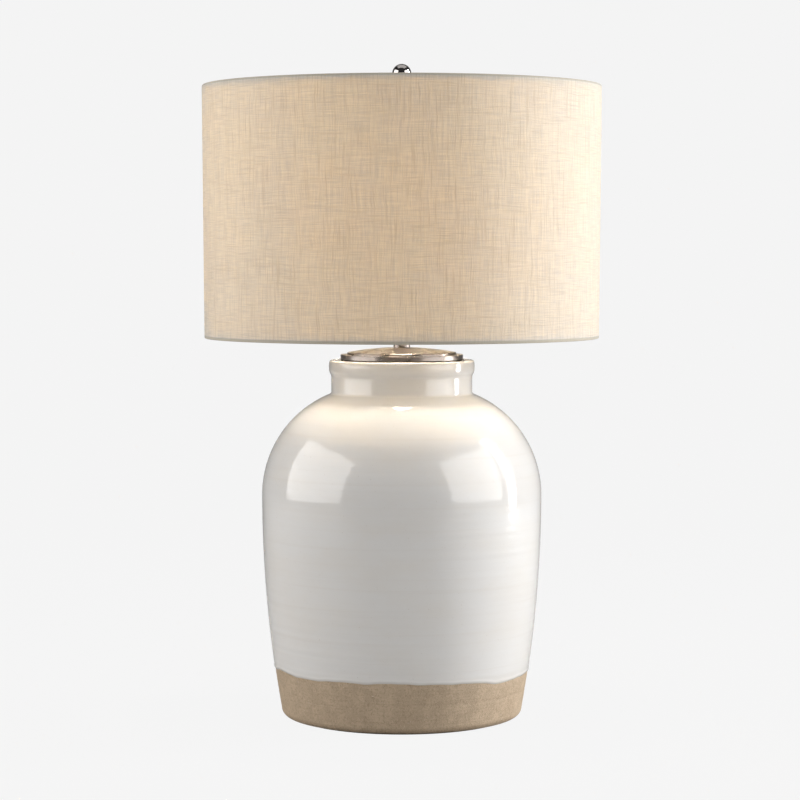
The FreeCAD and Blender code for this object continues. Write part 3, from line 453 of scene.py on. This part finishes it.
def clay_material(jar):
    """Bare fired clay: mottled tan with dark and pale grains and turning lines."""
    material, tree, shader = new_material("bare_stoneware", jar.clay_colour, 0.62)
    shader.inputs["Specular IOR Level"].default_value = 0.6
    place = group_node(tree, "round_coordinates")["Vector"]
    specks = group_node(tree, "speckle", {"Scale": 520.0, "Amount": 0.9})
    grain = group_node(tree, "speckle", {"Scale": 240.0, "Amount": 0.55})
    dark = scaled(jar.clay_colour, 0.66, 0.62, 0.56)
    pale = scaled(jar.clay_colour, 1.38, 1.40, 1.42)
    even = blend_colours(tree, 0.5, dark, pale)
    colour = tinge(tree, even, pale, spread(tree, specks["Mottle"], 0.42, 0.62), 0.55)
    streak = noise(tree, stretched(tree, place, 9.0, 420.0), 1.0, 3.0)
    colour = tinge(tree, colour, dark, spread(tree, streak, 0.5, 0.75), 0.3)
    patches = noise(tree, place, 330.0, 3.0, 0.65)
    colour = tinge(tree, colour, dark, spread(tree, patches, 0.48, 0.66), 0.55)
    fine = noise(tree, place, 900.0, 3.0, 0.7)
    colour = tinge(tree, colour, pale, spread(tree, fine, 0.46, 0.70), 0.7)
    colour = tinge(tree, colour, (0.20, 0.145, 0.10), specks["Grain"], 0.55)
    colour = tinge(tree, colour, (0.80, 0.73, 0.62), grain["Grain"], 0.6)
    tree.links.new(colour, shader.inputs["Base Color"])
    relief = calc(tree, "ADD", calc(tree, "MULTIPLY", fine, 0.6), calc(tree, "MULTIPLY", streak, 0.5))
    bump(tree, shader, relief, 0.6 * MM, 0.8)
    return material


def linen_weave(tree, shade, place, parts):
    """Height of the crossed threads, and a mask of the thicker ones."""
    level = add(tree, "ShaderNodeCombineXYZ", {0: parts[1], 1: parts[0]}).outputs[0]
    upright = group_node(tree, "threads", {"Vector": place, "Thread": shade.thread, "Run": 36 * MM,
                                           "Wander": 1.5 * MM, "Slubs": 1.0})
    across = group_node(tree, "threads", {"Vector": level, "Thread": shade.thread, "Run": 26 * MM,
                                          "Wander": 0.7 * MM, "Slubs": 0.75})
    weave = calc(tree, "ADD", upright["Height"], across["Height"])
    return weave, calc(tree, "MAXIMUM", upright["Slub"], across["Slub"])


def hem_mask(tree, shade, height):
    """High where the linen turns in over the upper and lower rings."""
    low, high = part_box("shade_fabric")
    turn = shade.hem_round
    top = spread(tree, height, high[2] - 1.5 * turn, high[2] - 0.5 * turn)
    bottom = spread(tree, height, low[2] + 1.2 * turn, low[2] + 2.0 * turn, 1.0, 0.0)
    return calc(tree, "MAXIMUM", top, bottom)


def inner_face_mask(tree, shade, parts):
    """1 on the linen's inner face, which the lining hides, and 0 outside."""
    low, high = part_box("shade_fabric")
    taper = SHADE_TAPER / (high[2] - low[2])
    outer_radius = calc(tree, "ADD", high[0] - SHADE_TAPER - taper * low[2],
                        calc(tree, "MULTIPLY", parts[1], taper))
    return calc(tree, "LESS_THAN", parts[2], calc(tree, "SUBTRACT", outer_radius, 0.5 * shade.cloth))


def linen_material(shade):
    """Natural linen, lit from both sides: crossed irregular threads, slubs, and thicker turned hems that let
    no light through and carry a painted shade.
    """
    material, tree, shader = new_material("natural_linen", shade.linen_colour, 0.92, Sheen_Weight=0.35,
                                          Sheen_Roughness=0.4)
    shader.inputs["Specular IOR Level"].default_value = 0.15
    place = group_node(tree, "round_coordinates")["Vector"]
    parts = add(tree, "ShaderNodeSeparateXYZ", {0: place}).outputs
    weave, slubs = linen_weave(tree, shade, place, parts)
    pale = scaled(shade.linen_colour, 1.05)
    dark = scaled(shade.linen_colour, 0.88)
    colour = blend_colours(tree, spread(tree, weave, 0.70, 1.30), pale, dark)
    colour = tinge(tree, colour, shade.slub_colour, slubs, 0.46)
    hem = hem_mask(tree, shade, parts[1])
    # painted shade: the turned hems are darkened toward the slub colour, standing for the shade along the
    # rolled edges
    colour = tinge(tree, colour, scaled(shade.slub_colour, 0.72), hem, 0.8)
    tree.links.new(colour, shader.inputs["Base Color"])
    relief = calc(tree, "ADD", weave, calc(tree, "MULTIPLY", slubs, 0.6))
    bump(tree, shader, relief, 0.5 * MM, 0.5)
    thick = calc(tree, "MAXIMUM", calc(tree, "MULTIPLY", slubs, 0.7), spread(tree, weave, 0.75, 1.25))
    glow = blend_colours(tree, thick, shade.glow_colour, scaled(shade.glow_colour, 0.58))
    inside = inner_face_mask(tree, shade, parts)
    passed = blend_colours(tree, inside, glow, (0.97, 0.96, 0.94))
    through = add(tree, "ShaderNodeBsdfTranslucent", {"Color": passed})
    share = spread(tree, inside, 0.0, 1.0, 0.31, 0.92)
    share = calc(tree, "MULTIPLY", calc(tree, "SUBTRACT", 1.0, hem), share)
    mix = add(tree, "ShaderNodeMixShader", {0: share, 1: shader.outputs[0], 2: through.outputs[0]})
    tree.links.new(mix.outputs[0], tree.nodes["Material Output"].inputs["Surface"])
    return material


def liner_material(shade):
    """White styrene lining sheet that lets light through."""
    material, tree, shader = new_material("lining_sheet", shade.liner_colour, 0.45)
    marks = group_node(tree, "smudges", {"Scale": 12.0, "Low": 0.38, "High": 0.52})
    tree.links.new(marks["Roughness"], shader.inputs["Roughness"])
    aged = scaled(shade.liner_colour, 0.985, 0.965, 0.93)
    colour = blend_colours(tree, marks["Mask"], shade.liner_colour, aged)
    tree.links.new(colour, shader.inputs["Base Color"])
    through = add(tree, "ShaderNodeBsdfTranslucent", {"Color": colour})
    mix = add(tree, "ShaderNodeMixShader", {0: 0.80, 1: shader.outputs[0], 2: through.outputs[0]})
    tree.links.new(mix.outputs[0], tree.nodes["Material Output"].inputs["Surface"])
    return material


def metal_material(name, colour, low, high, scale=60.0, tarnish=0.12):
    """Plated metal with faint smudges and a slightly darker tarnish."""
    material, tree, shader = new_material(name, colour, low, Metallic=1.0)
    marks = group_node(tree, "smudges", {"Scale": scale, "Low": low, "High": high})
    tree.links.new(marks["Roughness"], shader.inputs["Roughness"])
    worn = blend_colours(tree, marks["Mask"], colour, scaled(colour, 1 - tarnish))
    tree.links.new(worn, shader.inputs["Base Color"])
    return material


def plain_material(name, colour, low, high, scale=80.0, variation=0.15, relief=0.0):
    """Moulded, painted or felted stuff: uneven tone and roughness, with optional grain."""
    material, tree, shader = new_material(name, colour, low)
    marks = group_node(tree, "smudges", {"Scale": scale, "Low": low, "High": high})
    tree.links.new(marks["Roughness"], shader.inputs["Roughness"])
    uneven = blend_colours(tree, marks["Mask"], colour, scaled(colour, 1 - variation))
    tree.links.new(uneven, shader.inputs["Base Color"])
    if relief > 0:
        place = add(tree, "ShaderNodeTexCoord").outputs["Object"]
        bump(tree, shader, noise(tree, place, 1400.0, 3.0, 0.7), relief, 0.7)
    return material


def bulb_material(metal):
    """Soft white bulb glass that gives a warm light."""
    material, tree, shader = new_material("lit_bulb", (0.95, 0.92, 0.86), 0.35)
    shader.inputs["Emission Strength"].default_value = metal.bulb_strength
    low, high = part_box("bulb_glass")
    place = add(tree, "ShaderNodeTexCoord").outputs["Object"]
    height = add(tree, "ShaderNodeSeparateXYZ", {0: place}).outputs[2]
    dome = spread(tree, height, low[2], 0.5 * (low[2] + high[2]))
    light = blend_colours(tree, dome, scaled(metal.bulb_colour, 0.3), metal.bulb_colour)
    tree.links.new(light, shader.inputs["Emission Color"])
    marks = group_node(tree, "smudges", {"Scale": 30.0, "Low": 0.3, "High": 0.42})
    tree.links.new(marks["Roughness"], shader.inputs["Roughness"])
    return material


# ---------------------------------------------------------------- jar

def jar_wall(jar, grow, height):
    """Radius of the jar's outside at a height below the belly: one arc, upright at the belly."""
    run = jar.belly - jar.foot
    rise = jar.belly_level - FELT - jar.foot_rounding
    radius = (run * run + rise * rise) / (2 * run)
    drop = jar.belly_level - height
    return jar.belly - radius + math.sqrt(radius * radius - drop * drop) + grow


def jar_shoulder(jar, grow):
    """Outline from the belly over the shoulder, neck and lip to the mouth's edge."""
    centre = (jar.belly - jar.shoulder, jar.belly_level)
    radius = jar.shoulder + grow
    neck = jar.neck + grow
    end = math.degrees(math.acos((neck - centre[0]) / radius))
    fillet = 2.5  # degrees of the arc that the hollow at the neck's root takes
    points = arc(centre, radius, 0.0, end - fillet, 90)[1:]
    root = jar.belly_level + radius * math.sin(math.radians(end))
    lip_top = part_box("jar_body")[1][2] + grow
    lip = jar.lip + grow
    bend = points[-1]
    neck_outline = [(*bend, 0.0), (neck, root, 5 * MM), (neck, jar.lip_under - 3 * MM, 2 * MM),
                    (lip, jar.lip_under + 1.5 * MM, 2.5 * MM), (lip + 0.4 * MM, lip_top - 6 * MM, 2 * MM),
                    (lip - 0.4 * MM, lip_top, 5 * MM)]
    closed_by = [(jar.mouth, lip_top, 0.0), (jar.mouth, bend[1], 0.0)]
    smooth = rounded(neck_outline + closed_by, 8)
    points += smooth[1:-2]
    return points, lip_top


def ring_depth(jar, angle, height):
    """Finger rings and a slight unevenness left from throwing."""
    coarse_pitch, fine_pitch, fade_length = 12.5 * MM, 8.1 * MM, 190 * MM
    rise = FULL_TURN * height
    spiral = math.sin(rise / coarse_pitch + angle) + 0.6 * math.sin(rise / fine_pitch + angle + 1.3)
    fade = 0.55 + 0.45 * math.sin(rise / fade_length + 2.0 * math.sin(angle))
    slow = 0.5 * math.sin(2 * angle + 0.7 + 6.0 * height) + 0.35 * math.sin(3 * angle - 9.0 * height)
    return jar.ring_depth * (0.55 * spiral * fade + 1.1 * slow)


def glaze_edge_height(jar, angle):
    """Height of the dipped edge: a tilted plane with small runs."""
    tilt = jar.edge_rise * math.cos(angle) - jar.edge_lean * math.sin(angle)
    wave = 0.0
    for turns, amount, phase in ((2, 0.5, 0.4), (3, 0.55, 2.1), (5, 0.6, 0.9), (7, 0.45, 4.2),
                                 (11, 0.35, 1.7), (17, 0.22, 3.3), (29, 0.12, 0.2), (47, 0.07, 5.1)):
        wave += amount * math.sin(turns * angle + phase)
    return jar.glaze_edge + tilt + jar.edge_wave * wave


def glaze_wall(jar, angle):
    """The coat's outside from the dipped edge to the belly, with a bead just above the edge."""
    settled = 100 * MM  # above this height the rows are level
    lower_rows, upper_rows = 46, 80
    build_up, bead_size, bead_level, bead_width = 0.9 * MM, 0.45 * MM, 2.4 * MM, 1.7 * MM
    edge = glaze_edge_height(jar, angle)
    crowding = 1.6  # the rows stand closer together near the edge
    heights = [edge + (settled - edge) * (row / lower_rows) ** crowding for row in range(lower_rows)]
    span = jar.belly_level - settled
    heights += [settled + span * (row / (upper_rows - 1)) for row in range(upper_rows)]
    column = []
    for height in heights:
        above = height - edge
        coat = jar.glaze * (1 - math.exp(-above / build_up))
        bead = bead_size * math.exp(-((above - bead_level) / bead_width) ** 2)
        column.append((jar_wall(jar, 0.0, height) + coat + bead + ring_depth(jar, angle, height), height))
    return column


def glaze_underside(jar, column, end_radius):
    """The coat's hidden face, from the mouth back to the dipped edge, sunk a little into the clay."""
    sunk, lowered, overlap = 0.8 * MM, 0.55 * MM, 0.3 * MM
    innermost = end_radius - 0.4 * MM
    inward = []
    for radius, height in column[-1:0:-6]:
        if height - overlap > jar.belly_level:
            inward.append((max(radius - sunk, innermost), height - lowered))
        else:
            inward.append((jar_wall(jar, -overlap, height), height))
    return inward


class LAMP_OT_clay_jar(bpy.types.Operator):
    """Throw the clay jar with its foot ring, turning lines and the line above its foot"""
    bl_idname = "lamp.clay_jar"
    bl_label = "Clay Jar"

    def execute(self, context):
        jar = context.scene.table_lamp.jar
        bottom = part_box("jar_body")[0][2]
        bevel, rim_bevel, floor_bevel = 0.6 * MM, 1 * MM, 3 * MM
        foot_centre = (jar.foot - jar.foot_rounding, bottom + jar.foot_rounding)
        outline = [(jar.foot_inner + bevel, bottom)]
        outline += arc(foot_centre, jar.foot_rounding, -90, 0, 10)
        rows = 130
        start = foot_centre[1]
        for index in range(1, rows + 1):
            height = start + (jar.belly_level - start) * index / rows
            outline.append((jar_wall(jar, 0.0, height), height))
        shoulder, lip_top = jar_shoulder(jar, 0.0)
        outline += shoulder
        floor = jar.floor_under + jar.floor_thickness
        floor_round = 6 * MM
        rod_hole = 6.15 * MM
        inner = jar.shoulder - jar.wall
        inner_end = math.degrees(math.acos((jar.mouth - jar.belly + jar.shoulder) / inner))
        outline += [(jar.mouth + rim_bevel, lip_top), (jar.mouth, lip_top - rim_bevel)]
        outline += arc((jar.belly - jar.shoulder, jar.belly_level), inner, inner_end, 0.0, 24)
        inner_levels = [210 * MM, 160 * MM, 110 * MM, 70 * MM, floor + floor_round]
        outline += [(jar_wall(jar, -jar.wall, level), level) for level in inner_levels]
        outline += [(jar.foot - jar.wall - floor_round, floor), (rod_hole, floor),
                    (rod_hole, jar.floor_under), (jar.foot_inner - floor_bevel, jar.floor_under),
                    (jar.foot_inner, jar.floor_under - floor_bevel), (jar.foot_inner, bottom + bevel)]
        line_level, line_depth, line_width, line_drift = 33.5 * MM, 0.45 * MM, 0.7 * MM, 0.6 * MM
        foot_top, inside_top = bottom + 4 * MM, 250 * MM

        def shift(angle, radius, height):
            """Rings, the incised line above the foot and the hand's unevenness, on the outside only."""
            outside = radius > jar.mouth + SMOOTH_RIM and height > foot_top
            behind = radius < jar_wall(jar, -2 * MM, min(height, jar.belly_level))
            if not outside or behind and height < inside_top:
                return radius, height
            from_line = height - line_level - line_drift * math.sin(angle)
            line = line_depth * math.exp(-(from_line / line_width) ** 2)
            return radius + ring_depth(jar, angle, height) - line, height

        piece = turned("thrown_jar", outline, jar.segments, shift)
        finish_piece(piece, "base", "jar_body", clay_material(jar))
        return {"FINISHED"}


class LAMP_OT_glaze_coat(bpy.types.Operator):
    """Coat the jar with glaze down to its uneven dipped edge"""
    bl_idname = "lamp.glaze_coat"
    bl_label = "Glaze Coat"

    def execute(self, context):
        jar = context.scene.table_lamp.jar
        shoulder, lip_top = jar_shoulder(jar, jar.glaze)
        end_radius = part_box("vase_cap")[1][0] + 1.0 * MM
        shoulder.append((end_radius + 0.8 * MM, lip_top))
        shoulder.append((end_radius, lip_top - jar.glaze * 0.5))
        columns = []
        for step in range(jar.segments):
            angle = FULL_TURN * step / jar.segments
            column = glaze_wall(jar, angle)
            for radius, height in shoulder:
                outside = radius > jar.mouth + SMOOTH_RIM
                column.append((radius + (ring_depth(jar, angle, height) if outside else 0.0), height))
            columns.append(column + glaze_underside(jar, column, end_radius))
        rings = [[round_point(FULL_TURN * step / jar.segments, *column[row])
                  for step, column in enumerate(columns)] for row in range(len(columns[0]))]
        piece = tube_of_rings("glaze_coat", rings)
        finish_piece(piece, "base", "jar_glaze", glaze_material(jar))
        return {"FINISHED"}


# ---------------------------------------------------------------- shade

class LAMP_OT_linen_shade(bpy.types.Operator):
    """Wrap the linen round the drum, turn it in over both rings and lap it at the back"""
    bl_idname = "lamp.linen_shade"
    bl_label = "Linen Shade"

    def execute(self, context):
        shade = context.scene.table_lamp.shade
        low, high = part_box("shade_fabric")
        top, bottom = high[2], low[2]
        top_radius = high[0]
        bottom_radius = top_radius - SHADE_TAPER
        rows = 44
        wall = [(bottom_radius + (top_radius - bottom_radius) * index / rows,
                 bottom + shade.hem_round * 1.6 + (top - bottom - 3.2 * shade.hem_round) * index / rows, 0.0)
                for index in range(rows + 1)]
        inside = top_radius - shade.hem_depth
        low_inside = bottom_radius - shade.hem_depth
        outer = [(bottom_radius, bottom, shade.hem_round)] + wall + [
            (top_radius, top, shade.hem_round), (inside - shade.cloth, top, shade.hem_round),
            (inside - shade.cloth, top - shade.hem_height, 0.0), (inside, top - shade.hem_height, 0.0),
            (inside, top - shade.cloth, shade.hem_round * 0.6),
            (top_radius - shade.cloth, top - shade.cloth, shade.hem_round * 0.6)]
        back = [(radius - shade.cloth, height, 0.0) for radius, height, _ in wall[::-4]]
        lower = [(bottom_radius - shade.cloth, bottom + shade.cloth, shade.hem_round * 0.6),
                 (low_inside, bottom + shade.cloth, shade.hem_round * 0.6),
                 (low_inside, bottom + shade.hem_height, 0.0),
                 (low_inside - shade.cloth, bottom + shade.hem_height, 0.0),
                 (low_inside - shade.cloth, bottom, shade.hem_round)]
        outline = rounded(outer + back + lower, 6)
        half_lap = shade.seam_width / (2 * top_radius)

        lap_rise, inner_reach, turn_in = 0.55 * MM, 1.5 * shade.cloth, 5 * MM

        def shift(angle, radius, height):
            """Raise the lap at the back and let the turned-in hem wander a little."""
            if radius >= bottom_radius - inner_reach:
                return radius + (lap_rise if abs(angle - math.pi) < half_lap else 0.0), height
            if bottom + turn_in < height < top - turn_in:
                height += 0.35 * MM * math.sin(23 * angle + 1.1) + 0.25 * MM * math.sin(41 * angle)
            return radius, height

        piece = turned("linen_cover", outline, shade.segments, shift)
        finish_piece(piece, "shade", "shade_fabric", linen_material(shade))
        return {"FINISHED"}


class LAMP_OT_shade_frame(bpy.types.Operator):
    """Finish the lining sheet and the painted rings and spokes"""
    bl_idname = "lamp.shade_frame"
    bl_label = "Shade Frame"

    def execute(self, context):
        dress(["shade_liner"], liner_material(context.scene.table_lamp.shade))
        white = plain_material("white_powder_coat", (0.80, 0.79, 0.76), 0.35, 0.5, 50.0, 0.06, 0.08 * MM)
        dress(["shade_bottom_ring", "shade_spider"], white)
        return {"FINISHED"}


# ---------------------------------------------------------------- fittings

class LAMP_OT_nickel_fittings(bpy.types.Operator):
    """Finish the cap, neck and harp in satin nickel and the finial in polished nickel"""
    bl_idname = "lamp.nickel_fittings"
    bl_label = "Nickel Fittings"

    def execute(self, context):
        metal = context.scene.table_lamp.metal
        satin = metal_material("satin_nickel", metal.satin_colour, 0.24, 0.34)
        dress(["vase_cap", "check_ring", "neck_tube", "harp_saddle", "harp_wire", "harp_crown",
               "harp_sleeve_left", "harp_sleeve_right", "harp_stud"], satin)
        bright = metal_material("polished_nickel", metal.nickel_colour, 0.06, 0.14)
        dress(["finial_collar", "finial_ball"], bright)
        return {"FINISHED"}


class LAMP_OT_inner_fittings(bpy.types.Operator):
    """Finish the rod, washers, nut, felt, bushing and gasket"""
    bl_idname = "lamp.inner_fittings"
    bl_label = "Inner Fittings"

    def execute(self, context):
        metal = context.scene.table_lamp.metal
        zinc = metal_material("zinc_plate", metal.zinc_colour, 0.3, 0.45, 120.0)
        dress(["threaded_rod", "base_washer", "lock_washer", "rod_nut"], zinc)
        felt = plain_material("wool_felt", (0.055, 0.048, 0.042), 0.9, 1.0, 200.0, 0.35, 0.6 * MM)
        dress(["base_felt", "cap_gasket"], felt)
        rubber = plain_material("bushing_rubber", (0.03, 0.03, 0.03), 0.55, 0.75, 90.0, 0.3)
        dress(["cord_grommet"], rubber)
        return {"FINISHED"}


class LAMP_OT_socket(bpy.types.Operator):
    """Finish the socket, its switch and its contacts"""
    bl_idname = "lamp.socket"
    bl_label = "Socket"

    def execute(self, context):
        metal = context.scene.table_lamp.metal
        brass = metal_material("socket_brass", metal.brass_colour, 0.16, 0.3, 90.0, 0.2)
        dress(["socket_cap", "socket_shell", "center_contact", "terminal_screws"], brass)
        paper = plain_material("fibre_paper", (0.22, 0.15, 0.09), 0.8, 0.95, 300.0, 0.25, 0.3 * MM)
        dress(["socket_insulator"], paper)
        moulded = plain_material("moulded_black", (0.02, 0.02, 0.02), 0.28, 0.42, 70.0, 0.3)
        dress(["socket_body", "switch_stem", "switch_knob", "bulb_insulator"], moulded)
        bright = metal_material("contact_metal", (0.76, 0.76, 0.75), 0.2, 0.34, 110.0)
        dress(["screw_shell", "bulb_base", "bulb_tip"], bright)
        return {"FINISHED"}


class LAMP_OT_bulb(bpy.types.Operator):
    """Light the bulb"""
    bl_idname = "lamp.bulb"
    bl_label = "Bulb"

    def execute(self, context):
        metal = context.scene.table_lamp.metal
        dress(["bulb_glass"], bulb_material(metal))
        glass = plain_material("bulb_mount", (0.8, 0.8, 0.78), 0.2, 0.3, 60.0, 0.08)
        dress(["bulb_mount"], glass)
        phosphor = plain_material("light_rod", (0.95, 0.75, 0.35), 0.4, 0.5, 60.0, 0.08)
        dress(["bulb_filament"], phosphor)
        return {"FINISHED"}


# ---------------------------------------------------------------- stage

def add_light(name, place, target, size, power, colour):
    """A rectangular area light aimed at a point."""
    light = bpy.data.lights.new(name, "AREA")
    light.shape = "RECTANGLE"
    light.size, light.size_y = size
    light.energy = power
    light.color = colour
    item = bpy.data.objects.new(name, light)
    item.location = place
    item.rotation_euler = (Vector(target) - Vector(place)).to_track_quat("-Z", "Y").to_euler()
    bpy.context.scene.collection.objects.link(item)
    return item


class LAMP_OT_stage(bpy.types.Operator):
    """Set up the seamless backdrop, the soft lights and the camera"""
    bl_idname = "lamp.stage"
    bl_label = "Stage"

    def execute(self, context):
        scene = context.scene
        stage = scene.table_lamp.stage
        scene.view_settings.view_transform = "Standard"
        self.add_backdrop(stage)
        self.add_lights(scene)
        self.add_camera(scene, stage)
        return {"FINISHED"}

    def add_backdrop(self, stage):
        """A floor that sweeps up into a wall."""
        half_width, front, back, bend = 9.0, -7.0, 4.2, 2.2
        profile = [(front, 0.0)] + [
            (back - bend + bend * math.sin(math.radians(angle)), bend - bend * math.cos(math.radians(angle)))
            for angle in range(0, 91, 5)] + [(back, 7.0)]
        shape = bmesh.new()
        lines = [[shape.verts.new((side, y, z)) for side in (-half_width, half_width)] for y, z in profile]
        for lower, upper in zip(lines, lines[1:]):
            shape.faces.new((lower[0], lower[1], upper[1], upper[0]))
        mesh = bpy.data.meshes.new("backdrop")
        shape.to_mesh(mesh)
        shape.free()
        backdrop = add_object("backdrop", mesh)
        material, tree, shader = new_material("seamless_paper", stage.backdrop_colour, 0.95)
        shader.inputs["Specular IOR Level"].default_value = 0.0
        pale = add(tree, "ShaderNodeEmission", {"Color": (0.935, 0.935, 0.935, 1.0)})
        seen = calc(tree, "MULTIPLY", add(tree, "ShaderNodeLightPath").outputs["Is Camera Ray"], 0.96)
        mix = add(tree, "ShaderNodeMixShader", {0: seen, 1: shader.outputs[0], 2: pale.outputs[0]})
        tree.links.new(mix.outputs[0], tree.nodes["Material Output"].inputs["Surface"])
        mesh.materials.append(material)

    def add_lights(self, scene):
        """A tall narrow light at the right, wide soft boxes at both sides and above, and a weak sky."""
        for name, azimuth, distance, height, size, power, colour in (
                ("right_strip", 100, 2.4, 1.0, (0.36, 2.6), 57.0, (1.0, 0.998, 0.995)),
                ("right_box", 64, 2.7, 1.2, (2.6, 2.3), 52.0, (1.0, 0.998, 0.99)),
                ("left_box", -78, 2.7, 1.2, (3.2, 2.3), 68.0, (1.0, 0.988, 0.97)),
                ("top_box", 172, 0.4, 3.2, (3.2, 2.6), 20.0, (1.0, 0.99, 0.975))):
            angle = math.radians(azimuth)
            place = (distance * math.sin(angle), -distance * math.cos(angle), height)
            add_light(name, place, (0.0, 0.0, 0.45), size, power, colour)
        world = bpy.data.worlds.new("studio")
        scene.world = world
        world.use_nodes = True
        world.node_tree.nodes["Background"].inputs["Color"].default_value = (0.92, 0.93, 0.95, 1.0)
        world.node_tree.nodes["Background"].inputs["Strength"].default_value = 0.05

    def add_camera(self, scene, stage):
        """The camera stands in front, a little above the middle, and looks slightly down."""
        lens = bpy.data.cameras.new("camera")
        lens.lens = stage.lens
        lens.sensor_width = 36.0
        camera = bpy.data.objects.new("camera", lens)
        camera.location = (-stage.aside, -stage.distance, stage.eye)
        camera.rotation_euler = (math.radians(90) - stage.pitch, 0.0, 0.0)
        scene.collection.objects.link(camera)
        scene.camera = camera


# ---------------------------------------------------------------- panel and run

STEPS = ["clay_jar", "glaze_coat", "linen_shade", "shade_frame", "nickel_fittings", "inner_fittings",
         "socket", "bulb", "stage"]


class LAMP_PT_panel(bpy.types.Panel):
    """Buttons for each piece of the lamp"""
    bl_idname = "LAMP_PT_panel"
    bl_label = "Table Lamp"
    bl_space_type = "VIEW_3D"
    bl_region_type = "UI"
    bl_category = "Lamp"

    def draw(self, context):
        for step in STEPS:
            self.layout.operator(f"lamp.{step}")
        settings = context.scene.table_lamp
        for group in (settings.jar, settings.shade, settings.metal, settings.stage):
            box = self.layout.box()
            for name in group.__annotations__:
                box.prop(group, name)


CLASSES = [JarSettings, ShadeSettings, MetalSettings, StageSettings, LampSettings, LAMP_OT_clay_jar,
           LAMP_OT_glaze_coat, LAMP_OT_linen_shade, LAMP_OT_shade_frame, LAMP_OT_nickel_fittings,
           LAMP_OT_inner_fittings, LAMP_OT_socket, LAMP_OT_bulb, LAMP_OT_stage, LAMP_PT_panel]


def register():
    """Register the classes and hang the settings on the scene."""
    for item in CLASSES:
        bpy.utils.register_class(item)
    bpy.types.Scene.table_lamp = PointerProperty(type=LampSettings, name="Table lamp",
                                                 description="Settings of the table lamp")


def unregister():
    """Remove the settings and the classes."""
    del bpy.types.Scene.table_lamp
    for item in reversed(CLASSES):
        bpy.utils.unregister_class(item)


def main():
    register()
    for build in (build_round_coordinates, build_threads, build_smudges, build_speckle):
        build()
    for step in STEPS:
        getattr(bpy.ops.lamp, step)()


if __name__ == "__main__":
    main()
